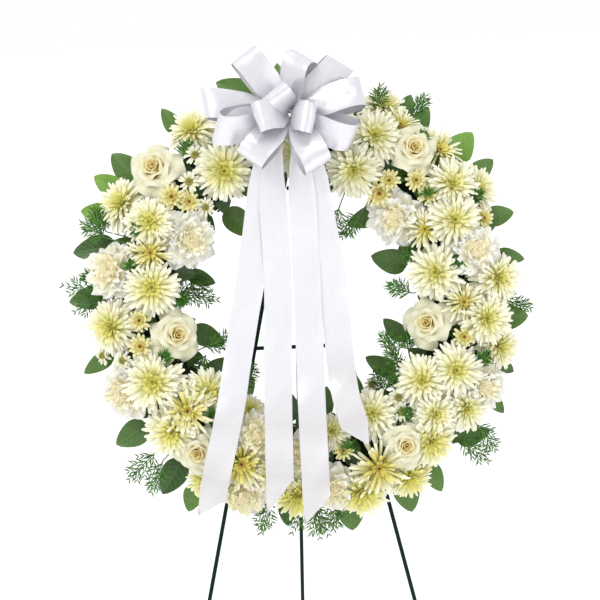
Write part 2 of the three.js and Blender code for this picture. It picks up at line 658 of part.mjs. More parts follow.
function crossBarSolid() {
  const half = legX(CROSS_BAR_Z) + 1.8 * WIRE;
  return rod([inEasel(-half, BAR_Y, CROSS_BAR_Z), inEasel(half, BAR_Y, CROSS_BAR_Z)], WIRE, 8);
}

function lowerRestSolid() {
  const under = RING_OUTER + GAP + TRAY_WALL;
  const z = WREATH_SHIFT[2] - Math.sqrt(under ** 2 - (REST_X - WREATH_SHIFT[0]) ** 2) - WIRE * 1.35 - GAP;
  return rod(
    [[-REST_X, TRAY_LIP], [-REST_X, BAR_Y], [REST_X, BAR_Y], [REST_X, TRAY_LIP]].map(([x, y]) => inEasel(x, y, z)),
    WIRE, 8);
}

// A wire staple round the easel's wire, its two legs pushed through the tray into the foam.
const STAPLE_WIRE = 1;
const STAPLE_DEPTH = 26;
function stapleRun(x, z, heading, depth) {
  const reach = WIRE + STAPLE_WIRE + 1.6;
  const dx = Math.cos(heading) * reach;
  const dz = Math.sin(heading) * reach;
  const behind = LEG_Y + WIRE + STAPLE_WIRE + GAP;
  return [[x - dx, -depth, z - dz], [x - dx, behind, z - dz], [x + dx, behind, z + dz], [x + dx, -depth, z + dz]]
    .map((p) => new THREE.Vector3(...p));
}
const legOnRing = { z: -175 };
legOnRing.x = legX(legOnRing.z);
const staples = {
  staple_top: [0, bendZ + BEND_RADIUS, Math.PI / 2],
  staple_left: [-legOnRing.x, legOnRing.z, slopeAngle * -1],
  staple_right: [legOnRing.x, legOnRing.z, slopeAngle],
};

const nodes = [];
function addNode(name, material, members) {
  nodes.push({ name, material, members });
}
roses.forEach(({ at, size }, k) => addNode(`rose_${k + 1}`, "rose", [addHead("rose", at, size, "rose")]));
carnations.forEach(({ at, size }, k) =>
  addNode(`carnation_${k + 1}`, "carnation", [addHead("carnation", at, size, "carnation")]));
addNode("carnation_spray", "carnation",
  sprayCarnations.map(([x, z, size]) => addHead("carnation_spray", [x, z], size, "carnation")));
for (const [name, { mums, buttons = [], asters = [] }] of Object.entries(mumSprays)) {
  addNode(name, "mum", [
    ...mums.map(([x, z, size]) => addHead(name, [x, z], size, "mum")),
    ...buttons.map(([x, z, size]) => addHead(name, [x, z], size, "button")),
    ...asters.map(([x, z, size]) => addHead(name, [x, z], size, "aster")),
  ]);
}
for (const [name, list] of Object.entries(buttonSprays)) {
  addNode(name, "button", list.map(([x, z, size]) => addHead(name, [x, z], size, "button")));
}
for (const [name, list] of Object.entries(asterSprays)) {
  addNode(name, "aster", list.map(([x, z, size]) => addHead(name, [x, z], size, "aster")));
}
// The bow stands on a pick of its own, which the petals near it keep clear of.
const pick = addHead("bow", PICK_AT, 3.5, "pick");
const knot = pick.core.clone().addScaledVector(pick.facing, PICK_LENGTH);
setWalls();

const wreath = new THREE.Group();
wreath.applyMatrix4(toWreath);
for (const { name, material, members } of nodes) {
  wreath.add(meshOf(name, largestOf(spraySolid(members)), materials[material]));
}
for (const [name, stem] of Object.entries(leafStems)) {
  wreath.add(meshOf(name, largestOf(leafStemSolid(stem)), materials.leaf));
}
for (const [name, fern] of Object.entries(ferns)) {
  wreath.add(meshOf(name, largestOf(fernSolid(fern)), materials.fern));
}

const knotBall = new THREE.SphereGeometry(KNOT_RADIUS, 7, 5).translate(...knot);
const bowPieces = [solidOf(knotBall), rod([footOf(pick), knot], STEM, 3), standingStem(pick)];
const bow = largestOf(joined([...bowPieces, ...bowLoops.map(loopSolid)]));
wreath.add(meshOf("bow", bow, materials.ribbon));
streamers.forEach((streamer, k) =>
  wreath.add(meshOf(`streamer_${k + 1}`, streamerSolid(streamer, k), materials.ribbon)));

let foam = foamSolid();
let tray = traySolid();
const easel = new THREE.Group();
for (const [name, [x, z, heading]] of Object.entries(staples)) {
  const run = stapleRun(x, z, heading, STAPLE_DEPTH);
  const solid = rod(run.map((p) => p.clone().applyMatrix4(toEasel)), STAPLE_WIRE, 4);
  easel.add(meshOf(name, solid, materials.tie));
  const hole = rod(
    stapleRun(x, z, heading, STAPLE_DEPTH + HOLE_SLACK).map((p) => p.applyMatrix4(easelToWreath)),
    STAPLE_WIRE + HOLE_SLACK, 4);
  foam = foam.subtract(hole);
  tray = tray.subtract(hole);
}
for (const hole of foamHoles) foam = foam.subtract(hole);
wreath.add(meshOf("foam_ring", largestOf(foam), materials.foam));
wreath.add(meshOf("base_tray", largestOf(tray), materials.tray));

easel.add(meshOf("easel_front_frame", frontFrameSolid(), materials.easel));
easel.add(meshOf("easel_back_leg", backLegSolid(), materials.easel));
easel.add(meshOf("easel_hinge_pin", hingePinSolid(), materials.easel));
easel.add(meshOf("easel_cross_bar", crossBarSolid(), materials.easel));
easel.add(meshOf("easel_lower_rest", lowerRestSolid(), materials.easel));

// The origin is on the floor, under the middle of the whole object.
const object = new THREE.Group();
object.add(wreath, easel);
object.updateMatrixWorld(true);
const box = new THREE.Box3().setFromObject(object, true);
object.position.set(-(box.min.x + box.max.x) / 2, -(box.min.y + box.max.y) / 2, 0);

export default object;
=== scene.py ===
import json
import math
import random

import bpy
import numpy as np
from mathutils import Matrix, Quaternion, Vector

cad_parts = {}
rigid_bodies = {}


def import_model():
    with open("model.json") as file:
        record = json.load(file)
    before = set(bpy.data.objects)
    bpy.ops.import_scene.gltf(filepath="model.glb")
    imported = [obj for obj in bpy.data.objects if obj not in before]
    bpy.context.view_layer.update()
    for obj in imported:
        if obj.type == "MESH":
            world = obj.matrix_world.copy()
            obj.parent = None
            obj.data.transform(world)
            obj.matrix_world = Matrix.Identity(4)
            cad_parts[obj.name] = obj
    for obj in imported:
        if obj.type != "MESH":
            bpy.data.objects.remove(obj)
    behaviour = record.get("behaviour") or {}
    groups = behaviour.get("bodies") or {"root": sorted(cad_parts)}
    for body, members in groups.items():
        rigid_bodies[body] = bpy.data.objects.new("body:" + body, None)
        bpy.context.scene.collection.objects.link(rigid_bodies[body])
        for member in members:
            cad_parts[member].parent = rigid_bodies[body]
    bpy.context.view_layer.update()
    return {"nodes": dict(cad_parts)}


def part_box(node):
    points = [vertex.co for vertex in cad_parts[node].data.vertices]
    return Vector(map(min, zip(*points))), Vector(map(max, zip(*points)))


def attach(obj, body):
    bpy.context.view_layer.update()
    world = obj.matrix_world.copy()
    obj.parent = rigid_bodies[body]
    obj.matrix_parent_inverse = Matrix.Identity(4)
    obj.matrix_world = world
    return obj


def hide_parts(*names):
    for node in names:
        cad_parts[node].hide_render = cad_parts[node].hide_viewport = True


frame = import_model()

# How the wreath hangs on its easel, in metres and degrees, as in the solids
setting = {
    "lean": 10,
    "turn": 1.8,
    "shift": (0.0045, 0, 0.003),
    "legCrossing": 0.204,
    "legSlope": 0.2225,
    "legDepth": 0.0028,
    "hingeDrop": 0.06,
    "coreRadius": 0.193,
    "coreDepth": -0.022,
    "standoff": 0.064,
    "headLean": 0.6,
    "headSize": 1.12,
    "linkStandoff": 0.046,
    "stemEnd": 0.0145,
    "rootLength": 0.0195,
}
hingeLocal = Vector((0, setting["legDepth"], setting["legCrossing"] - setting["hingeDrop"]))
hingeBox = [Vector(corner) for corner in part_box("easel_hinge_pin")]
hingeCentre = (hingeBox[0] + hingeBox[1]) / 2
leanTurn = Matrix.Rotation(-math.radians(setting["lean"]), 4, "X")
easelPlace = Matrix.Translation(hingeCentre - leanTurn @ hingeLocal) @ leanTurn
wreathPlace = (
    easelPlace
    @ Matrix.Translation(setting["shift"])
    @ Matrix.Rotation(math.radians(setting["turn"]), 4, "Y")
)
towardsViewer = Vector((0, -1, 0))

# The camera stands where the photograph was taken from
camera = {
    "distance": 2.6, "lens": 130, "elevation": 9, "side": -2.5, "roll": 1.9,
    "aim": (-0.0072, -0.085, 0),
}


def addCamera():
    data = bpy.data.cameras.new("camera")
    data.lens = camera["lens"]
    data.sensor_width = 36
    data.clip_end = 30
    eye = bpy.data.objects.new("camera", data)
    bpy.context.scene.collection.objects.link(eye)
    rise, side = math.radians(camera["elevation"]), math.radians(camera["side"])
    back = Vector((math.sin(side) * math.cos(rise), -math.cos(side) * math.cos(rise), math.sin(rise)))
    eye.matrix_world = (
        Matrix.Translation(wreathPlace @ Vector(camera["aim"]) + back * camera["distance"])
        @ back.to_track_quat("Z", "Y").to_matrix().to_4x4()
        @ Matrix.Rotation(-math.radians(camera["roll"]), 4, "Z")
    )
    bpy.context.scene.camera = eye


addCamera()
print("camera placed")


# Nodes for the materials. A socket is given a value, or the output that feeds it.


def setSockets(tree, node, values):
    for name, value in values.items():
        if isinstance(value, bpy.types.NodeSocket):
            tree.links.new(value, node.inputs[name])
        else:
            node.inputs[name].default_value = value


def addNode(tree, kind, values=None, **choices):
    node = tree.nodes.new(kind)
    for name, choice in choices.items():
        setattr(node, name, choice)
    setSockets(tree, node, values or {})
    return node


def newMaterial(name):
    material = bpy.data.materials.new(name)
    material.use_nodes = True
    return material, material.node_tree, material.node_tree.nodes["Principled BSDF"]


def attribute(tree, name):
    return addNode(tree, "ShaderNodeAttribute", attribute_name=name).outputs["Fac"]


def objectPlace(tree):
    return addNode(tree, "ShaderNodeTexCoord").outputs["Object"]


def maths(tree, operation, first, second=0.5):
    return addNode(tree, "ShaderNodeMath", {0: first, 1: second}, operation=operation).outputs[0]


def colourRamp(tree, value, stops):
    node = addNode(tree, "ShaderNodeValToRGB", {0: value})
    elements = node.color_ramp.elements
    while len(elements) < len(stops):
        elements.new(0.5)
    for element, (place, colour) in zip(elements, stops):
        element.position = place
        element.color = (*colour, 1)
    return node.outputs[0]


def mixColours(tree, first, second, share=1.0, blend="MULTIPLY"):
    node = addNode(tree, "ShaderNodeMix", {0: share}, data_type="RGBA", blend_type=blend)
    colours = [k for k, socket in enumerate(node.inputs) if socket.type == "RGBA"]
    setSockets(tree, node, dict(zip(colours, (first, second))))
    return next(socket for socket in node.outputs if socket.type == "RGBA")


def bump(tree, height, strength, distance, over=None, invert=False):
    values = {"Height": height, "Strength": strength, "Distance": distance}
    if over is not None:
        values["Normal"] = over
    return addNode(tree, "ShaderNodeBump", values, invert=invert).outputs[0]


# Fine lines that run along a petal, ribbon or leaf, and a soft mottle over it
def addStreakGroup():
    tree = bpy.data.node_groups.new("lengthwiseStreaks", "ShaderNodeTree")
    for name, value in (("Along", 0), ("Across", 0), ("Lines", 6), ("Offset", 0)):
        socket = tree.interface.new_socket(name, in_out="INPUT", socket_type="NodeSocketFloat")
        socket.default_value = value
    for name in ("Streaks", "Mottle"):
        tree.interface.new_socket(name, in_out="OUTPUT", socket_type="NodeSocketFloat")
    given = addNode(tree, "NodeGroupInput").outputs
    spread = maths(tree, "MULTIPLY", given["Across"], given["Lines"])
    place = addNode(tree, "ShaderNodeCombineXYZ", {0: given["Along"], 1: spread, 2: given["Offset"]})
    lines = addNode(tree, "ShaderNodeTexNoise", {"Vector": place.outputs[0], "Scale": 1.0, "Detail": 2})
    mottle = addNode(tree, "ShaderNodeTexNoise", {"Vector": objectPlace(tree), "Scale": 60})
    addNode(tree, "NodeGroupOutput", {"Streaks": lines.outputs["Fac"], "Mottle": mottle.outputs["Fac"]})
    return tree


streakGroup = addStreakGroup()


def streaked(tree, lines, offset=0.0):
    values = {"Along": attribute(tree, "along"), "Across": attribute(tree, "across"), "Lines": lines}
    values["Offset"] = offset
    return addNode(tree, "ShaderNodeGroup", values, node_tree=streakGroup).outputs


# The stops colour a petal from its base to its tip. Petals near the eye go towards the inner colour.
# The last setting is a painted glow: emission in the petal's own colour that lifts the shade in its folds,
# standing in for the light that a thin petal lets through.
def petalMaterial(name, stops, innerColour, innerFrom, lines=5, streak=0.14, roughness=0.55,
                  raised=0.3, glow=0.1, paintedGlow=0.0):
    material, tree, shader = newMaterial(name)
    streaks = streaked(tree, lines, attribute(tree, "tint"))["Streaks"]
    inner = {"Value": attribute(tree, "inner"), "From Min": innerFrom, "To Max": 0.9}
    share = addNode(tree, "ShaderNodeMapRange", inner).outputs[0]
    blended = mixColours(
        tree, colourRamp(tree, attribute(tree, "along"), stops), (*innerColour, 1), share, "MIX")
    shaded = (1 - streak * 0.6, 1 - streak * 0.7, 1 - streak * 1.8)
    colour = mixColours(tree, blended, colourRamp(tree, streaks, [(0.3, shaded), (0.7, (1, 1, 1))]))
    setSockets(tree, shader, {
        "Base Color": colour,
        "Normal": bump(tree, streaks, raised, 0.0006),
        "Roughness": roughness,
        "Specular IOR Level": 0.3,
        "Subsurface Weight": glow,
        "Subsurface Radius": (0.006, 0.006, 0.005),
        "Subsurface Scale": 1.0,
    })
    # Painted glow: the petal also emits its own colour, so its shaded folds look lit
    if paintedGlow:
        setSockets(tree, shader, {"Emission Color": colour, "Emission Strength": paintedGlow})
    return material


petalLooks = {
    "mum": petalMaterial(
        "mumPetals",
        [(0.0, (0.46, 0.43, 0.05)), (0.25, (0.81, 0.78, 0.3)), (0.48, (0.93, 0.92, 0.72)),
         (1.0, (0.95, 0.95, 0.91))],
        (0.77, 0.74, 0.18), 0.62, streak=0.15, paintedGlow=0.03),
    "spider": petalMaterial(
        "spiderPetals",
        [(0.0, (0.54, 0.48, 0.05)), (0.26, (0.82, 0.77, 0.28)), (0.5, (0.92, 0.89, 0.64)),
         (1.0, (0.94, 0.93, 0.86))],
        (0.78, 0.7, 0.14), 0.62),
    "button": petalMaterial(
        "buttonPetals",
        [(0.0, (0.56, 0.48, 0.07)), (0.45, (0.82, 0.77, 0.36)), (1.0, (0.91, 0.89, 0.66))],
        (0.8, 0.72, 0.24), 0.6),
    "aster": petalMaterial(
        "asterPetals",
        [(0.0, (0.76, 0.74, 0.42)), (0.4, (0.92, 0.92, 0.8)), (1.0, (0.94, 0.94, 0.9))],
        (0.84, 0.84, 0.62), 0.6),
    "carnation": petalMaterial(
        "carnationPetals",
        [(0.0, (0.84, 0.66, 0.26)), (0.45, (0.85, 0.79, 0.57)), (0.7, (0.83, 0.83, 0.78)),
         (1.0, (0.84, 0.845, 0.85))],
        (0.86, 0.82, 0.58), 0.7, lines=9, streak=0.04, glow=0.0, paintedGlow=0.06),
    "rose": petalMaterial(
        "rosePetals",
        [(0.0, (0.6, 0.43, 0.08)), (0.5, (0.7, 0.58, 0.24)), (0.74, (0.7, 0.665, 0.44)),
         (1.0, (0.71, 0.71, 0.59))],
        (0.8, 0.64, 0.25), 0.5, lines=7, streak=0.08, roughness=0.5, raised=0.12, glow=0.0,
        paintedGlow=0.05),
}


# The disc of a bloom: bumpy with florets, and of another colour in its middle
def eyeMaterial(name, rim, middle):
    material, tree, shader = newMaterial(name)
    stops = [(0.0, middle), (0.35, middle), (0.6, rim), (1.0, rim)]
    cells = addNode(tree, "ShaderNodeTexVoronoi", {"Vector": objectPlace(tree), "Scale": 900})
    florets = cells.outputs["Distance"]
    setSockets(tree, shader, {
        "Base Color": mixColours(tree, colourRamp(tree, attribute(tree, "along"), stops), florets, 0.5),
        "Normal": bump(tree, florets, 0.7, 0.0006, invert=True),
        "Roughness": 0.7,
    })
    return material


eyeLooks = {
    "mum": eyeMaterial("mumEyes", (0.6, 0.6, 0.14), (0.42, 0.4, 0.07)),
    "spider": eyeMaterial("spiderEyes", (0.72, 0.5, 0.1), (0.16, 0.03, 0.02)),
    "button": eyeMaterial("buttonEyes", (0.74, 0.52, 0.12), (0.2, 0.05, 0.02)),
    "carnation": eyeMaterial("carnationHearts", (0.94, 0.84, 0.56), (0.94, 0.82, 0.5)),
    "aster": eyeMaterial("asterEyes", (0.36, 0.34, 0.06), (0.2, 0.18, 0.03)),
}


# A leaf's green goes from dark to light by its tint. Its side veins sweep forward from the midrib.
def leafMaterial(name, dark, light, vein, roughness):
    material, tree, shader = newMaterial(name)
    toned = mixColours(tree, (*dark, 1), (*light, 1), attribute(tree, "tint"), "MIX")
    mottle = {"Value": streaked(tree, 2)["Mottle"], "To Min": 0.72, "To Max": 1.25}
    mottled = mixColours(tree, toned, addNode(tree, "ShaderNodeMapRange", mottle).outputs[0])
    side = maths(tree, "ABSOLUTE", attribute(tree, "across"))
    forward = maths(tree, "MULTIPLY", attribute(tree, "along"), 44)
    swept = maths(tree, "SUBTRACT", forward, maths(tree, "MULTIPLY", side, 11))
    wave = maths(tree, "ABSOLUTE", maths(tree, "SINE", maths(tree, "MULTIPLY", swept, 0.5)))
    sideVeins = maths(tree, "MULTIPLY", maths(tree, "POWER", wave, 14), 0.3)
    midrib = maths(tree, "POWER", maths(tree, "SUBTRACT", 1.0, side), 30)
    veins = maths(tree, "MAXIMUM", sideVeins, maths(tree, "MULTIPLY", midrib, 0.8))
    setSockets(tree, shader, {
        "Base Color": mixColours(tree, mottled, (*vein, 1), veins, "MIX"),
        "Normal": bump(tree, veins, 0.5, 0.0008, invert=True),
        "Roughness": roughness,
        "Subsurface Weight": 0.08,
        "Subsurface Radius": (0.002, 0.004, 0.001),
    })
    return material


salalLook = leafMaterial("salalLeaf", (0.018, 0.065, 0.012), (0.17, 0.34, 0.035), (0.12, 0.26, 0.06), 0.36)
fernLook = leafMaterial("fernNeedles", (0.02, 0.1, 0.006), (0.09, 0.26, 0.02), (0.05, 0.18, 0.012), 0.55)


# A surface with a fine grain that shows in its colour and its bump
def plainMaterial(name, colour, roughness, grain=200, depth=0.0003, change=0.2, metallic=0.0, specular=0.5):
    material, tree, shader = newMaterial(name)
    noise = addNode(tree, "ShaderNodeTexNoise", {"Vector": objectPlace(tree), "Scale": grain, "Detail": 6})
    speckle = noise.outputs["Fac"]
    stops = [(at, tuple(c * level for c in colour)) for at, level in ((0.3, 1 - change), (0.7, 1 + change))]
    grained = bump(tree, speckle, 0.5, depth)
    grained.node.name = "grainBump"
    setSockets(tree, shader, {
        "Base Color": colourRamp(tree, speckle, stops),
        "Normal": grained,
        "Roughness": roughness,
        "Metallic": metallic,
        "Specular IOR Level": specular,
    })
    return material


enamelLook = plainMaterial("greenEnamel", (0.001, 0.014, 0.009), 0.4, grain=60, depth=0.0001, specular=0.12)
wireLook = plainMaterial("tieWire", (0.04, 0.12, 0.05), 0.4, metallic=0.4)
trayLook = plainMaterial("trayPlastic", (0.012, 0.062, 0.028), 0.42, grain=300)
# The foam's green is taken near black: partly its own dark colour, partly painted shade for the gaps between
# the blooms
foamLook = plainMaterial("darkFoamPaintedShade", (0.006, 0.02, 0.006), 0.95, grain=700, depth=0.001, change=0.5)
stemLook = plainMaterial("greenStems", (0.1, 0.22, 0.05), 0.55, grain=400)


# Fine moulded rings about the wreath's own middle, so many metres apart
def addMouldRings(material, spacing):
    tree = material.node_tree
    centred = addNode(tree, "ShaderNodeMapping", {
        "Vector": objectPlace(tree),
        "Location": wreathPlace.translation,
        "Rotation": wreathPlace.to_euler(),
    }, vector_type="TEXTURE")
    rings = addNode(
        tree, "ShaderNodeTexWave", {"Vector": centred.outputs[0], "Scale": 0.314 / spacing},
        wave_type="RINGS", rings_direction="Y")
    raised = bump(tree, rings.outputs["Fac"], 0.6, 0.001)
    setSockets(tree, tree.nodes["grainBump"], {"Normal": raised})


addMouldRings(trayLook, 0.012)


# Satin is dull and bright by its fine lines. A painted end shade, given by its stops, dims and warms it along
# its length.
def satinMaterial(name, dull, bright, paintedEndShade=None):
    material, tree, shader = newMaterial(name)
    streaks = streaked(tree, 60)
    colour = colourRamp(tree, streaks["Streaks"], [(0.3, dull), (0.7, bright)])
    # Painted shade along the ribbon's length, multiplied into the satin colour
    if paintedEndShade:
        colour = mixColours(tree, colour, colourRamp(tree, attribute(tree, "along"), paintedEndShade))
    soft = bump(tree, streaks["Mottle"], 0.5, 0.0016)
    setSockets(tree, shader, {
        "Base Color": colour,
        "Normal": bump(tree, streaks["Streaks"], 0.15, 0.0002, over=soft),
        "Metallic": 0.35,
        "Roughness": 0.3,
        "Specular IOR Level": 0.8,
    })
    return material


bowSatin = satinMaterial("bowSatin", (0.66, 0.655, 0.7), (0.73, 0.725, 0.77))
# Painted shade: bands that dim and warm the ends of a streamer, painted to stand for the blooms behind it
# showing through
streamerSatin = satinMaterial(
    "streamerSatin", (0.74, 0.74, 0.78), (0.8, 0.8, 0.84),
    [(0.0, (1.0, 1.0, 1.0)), (0.68, (1.0, 1.0, 1.0)), (0.8, (0.9, 0.885, 0.86)), (0.86, (0.97, 0.96, 0.94)),
     (0.94, (0.86, 0.84, 0.8)), (1.0, (0.92, 0.905, 0.87))])
print("materials made")


# Mesh helpers
rimAngle = math.radians(65)


# Gathers thin closed shells and rods into one mesh, with the values that the materials read
class Builder:
    def __init__(self):
        self.points, self.faces, self.count = [], [], 0
        self.values = {"along": [], "across": [], "inner": [], "tint": []}

    def add(self, points, faces, along, across, inner=0.0, tint=0.5):
        self.points.append(points)
        self.faces.extend([[i + self.count for i in face] for face in faces])
        self.count += len(points)
        for name, value in zip(self.values, (along, across, inner, tint)):
            self.values[name].append(np.broadcast_to(np.asarray(value, float), (len(points),)))

    # The grid is rows by columns of points. Its upper side is the one that rows cross columns faces.
    def addShell(self, grid, thickness, inner=0.0, tint=0.5):
        rows, columns = grid.shape[:2]
        normal = np.cross(np.gradient(grid, axis=0), np.gradient(grid, axis=1))
        normal /= np.linalg.norm(normal, axis=2, keepdims=True) + 1e-12
        inside = np.zeros((rows, columns), bool)
        inside[1:-1, 1:-1] = True
        upper = np.arange(rows * columns).reshape(rows, columns)
        lower = upper.copy()
        lower[inside] = rows * columns + np.arange(int(inside.sum()))
        faces = []
        for r in range(rows - 1):
            for c in range(columns - 1):
                faces.append([upper[r, c], upper[r + 1, c], upper[r + 1, c + 1], upper[r, c + 1]])
                faces.append([lower[r, c], lower[r, c + 1], lower[r + 1, c + 1], lower[r + 1, c]])
        points = np.concatenate([grid.reshape(-1, 3), (grid - normal * thickness)[inside]])
        shares = np.meshgrid(np.linspace(0, 1, rows), np.linspace(-1, 1, columns), indexing="ij")
        along, across = (np.concatenate([share.ravel(), share[inside]]) for share in shares)
        self.add(points, faces, along, across, inner, tint)

    # A round rod along a path, with domed ends
    def addRod(self, path, radii, sides=8):
        path = [Vector(p) for p in path]
        radii = radii if isinstance(radii, list) else [radii] * len(path)
        last = len(path) - 1
        turns = [2 * math.pi * i / sides for i in range(sides)]
        points, marks, side = [], [], None
        for k, (point, radius) in enumerate(zip(path, radii)):
            before = (point - path[k - 1]).normalized() if k else None
            after = (path[k + 1] - point).normalized() if k < last else None
            way = (before + after).normalized() if before and after else (after or before)
            if side is None:
                side = way.orthogonal().normalized()
            side = (side - way * side.dot(way)).normalized()
            other = way.cross(side)
            domes = {0: [(-0.5, 0.6), (0, 1)], last: [(0, 1), (0.5, 0.6)]}
            for shift, scale in domes.get(k, [(0, 1)]):
                middle = point + way * (shift * radius)
                for t in turns:
                    points.append(tuple(middle + (side * math.cos(t) + other * math.sin(t)) * radius * scale))
                marks += [k / last] * sides
        faces = []
        for start in range(0, len(points) - sides, sides):
            for i in range(sides):
                j = (i + 1) % sides
                faces.append([start + i, start + j, start + sides + j, start + sides + i])
        faces.append(list(range(sides))[::-1])
        faces.append(list(range(len(points) - sides, len(points))))
        self.add(np.array(points), faces, marks, 0.5)

    def make(self, name, material):
        mesh = bpy.data.meshes.new(name)
        mesh.from_pydata(np.concatenate(self.points).tolist(), [], self.faces)
        for key, value in self.values.items():
            layer = mesh.attributes.new(key, "FLOAT", "POINT")
            layer.data.foreach_set("value", np.concatenate(value).astype(np.float32))
        mesh.materials.append(material)
        mesh.polygons.foreach_set("use_smooth", [True] * len(mesh.polygons))
        mesh.set_sharp_from_angle(angle=rimAngle)
        mesh.update()
        made = bpy.data.objects.new(name, mesh)
        bpy.context.scene.collection.objects.link(made)
        return made


def join(pieces, name):
    first = pieces[0]
    with bpy.context.temp_override(active_object=first, selected_editable_objects=pieces):
        bpy.ops.object.join()
    first.name = first.data.name = name
    return first


def finishPiece(piece, node):
    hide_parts(node)
    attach(piece, "stand")
    return piece


def putInto(group, made):
    bpy.context.scene.collection.objects.unlink(made)
    group.objects.link(made)


# Points in the wreath's own frame, carried to where the wreath hangs
def toRow(points):
    matrix = np.array(wreathPlace)
    return np.asarray(points, float) @ matrix[:3, :3].T + matrix[:3, 3]


def carried(*points):
    return [wreathPlace @ Vector(point) for point in points]


def onRing(radius, turn, depth):
    return Vector((radius * math.cos(turn), depth, radius * math.sin(turn)))


# Petals that are set out by number: one unit petal of each kind, one metre long and wide
petalShapes = {
    "mum": {"rows": 7, "columns": 3, "cup": 0.14, "curls": (-0.16, 0.04, 0.18), "widest": 0.78, "base": 0.5},
    "spider": {"rows": 7, "columns": 3, "cup": 0.16, "curls": (-0.1, 0.08, 0.2), "widest": 0.88, "base": 0.6},
    "aster": {"rows": 5, "columns": 3, "cup": 0.12, "curls": (-0.1, 0.05, 0.12), "widest": 0.65, "base": 0.4},
    "button": {"rows": 5, "columns": 3, "cup": 0.2, "curls": (0.0, 0.15, 0.3), "widest": 0.7, "base": 0.5},
    "carnation": {"rows": 7, "columns": 11, "cup": 0.05, "curls": (0.5, 0.7, 0.5), "base": 0.14},
}


# A narrow petal is widest near its blunt tip and bends up or down by its curl
def narrowPetal(shape, number, curl, u, v):
    peak, foot = shape["widest"], shape["base"] * (1 - u) ** 2
    growing = np.sin(np.clip(u / peak, 0, 1) * math.pi / 2)
    closing = np.sqrt(np.clip(1 - ((u - peak) / (1.04 - peak)) ** 2, 0, 1))
    half = 0.5 * (foot + (1 - foot) * np.where(u < peak, growing, closing))
    x = u * (1 - 0.03 * v**2)
    z = curl * u**2.2 + shape["cup"] * v**2 * np.sin(math.pi * np.clip(u, 0.05, 1)) * 0.5
    return x, z, half


# A carnation's broad petal curls over, and its end is wavy and a little ragged
def broadPetal(shape, number, curl, u, v):
    rounded = np.sqrt(1 - np.clip((u - 0.7) / 0.4, 0, 1) ** 2)
    half = 0.5 * (shape["base"] + (1 - shape["base"]) * u**1.2) * rounded
    ragged = 0.012 * np.cos(v * 15 + number) + 0.014 * np.cos(v * 9 + 2 * number)
    reach = u * (1 - 0.26 * v**2) + ragged * u**3
    bent = curl * np.clip(reach, 0, 1.1)
    wave = 0.08 * np.sin(v * 4.6 + 1.3 * number) * u**2 + 0.04 * np.sin(v * 9 + number) * u**4
    x = np.sin(bent) / curl + wave * np.sin(bent)
    z = (np.cos(bent) - 1) / curl + wave * np.cos(bent) + shape["cup"] * v**2 * u
    return x, z, half


# The kinds of one petal, one for each of its curls
def petalCollection(kind):
    shape = petalShapes[kind]
    outline = broadPetal if kind == "carnation" else narrowPetal
    u = np.sin(np.linspace(0, math.pi / 2, shape["rows"]))[:, None]
    v = np.linspace(-1, 1, shape["columns"])[None]
    group = bpy.data.collections.new(kind + "PetalKinds")
    for number, curl in enumerate(shape["curls"]):
        x, z, half = outline(shape, number, curl, u, v)
        y = v * half + 0.03 * (number - 1) * u**2
        builder = Builder()
        builder.addShell(np.stack(np.broadcast_arrays(x, y, z), axis=2), 0.02)
        putInto(group, builder.make(f"{kind}Petal{number}", petalLooks[kind]))
    return group


# A disc of florets: a low dome whose middle dips
dome = {"sides": 12, "rings": 5, "height": 0.62, "swell": 0.22, "foot": -0.4}


def domeCollection(kind):
    sides, rings = dome["sides"], dome["rings"]
    points, along = [(0, 0, dome["height"])], [0.0]
    for r in range(1, rings + 1):
        share = r / rings
        height = dome["height"] * (1 - share**3) + dome["swell"] * math.sin(share * math.pi)
        for turn in np.linspace(0, 2 * math.pi, sides, endpoint=False):
            reach = share * (1 + 0.03 * math.cos(5 * turn + r))
            points.append((reach * math.cos(turn), reach * math.sin(turn), height))
        along += [share] * sides
    points.append((0, 0, dome["foot"]))
    along.append(1.0)
    pairs = [(i, (i + 1) % sides) for i in range(sides)]
    starts = [1 + r * sides for r in range(rings)]
    faces = [[0, 1 + i, 1 + j] for i, j in pairs]
    for a, b in zip(starts, starts[1:]):
        faces += [[a + i, b + i, b + j, a + j] for i, j in pairs]
    faces += [[len(points) - 1, starts[-1] + j, starts[-1] + i] for i, j in pairs]
    builder = Builder()
    builder.add(np.array(points), faces, along, 0)
    group = bpy.data.collections.new(kind + "EyeKinds")
    putInto(group, builder.make(kind + "Eye", eyeLooks[kind]))
    return group


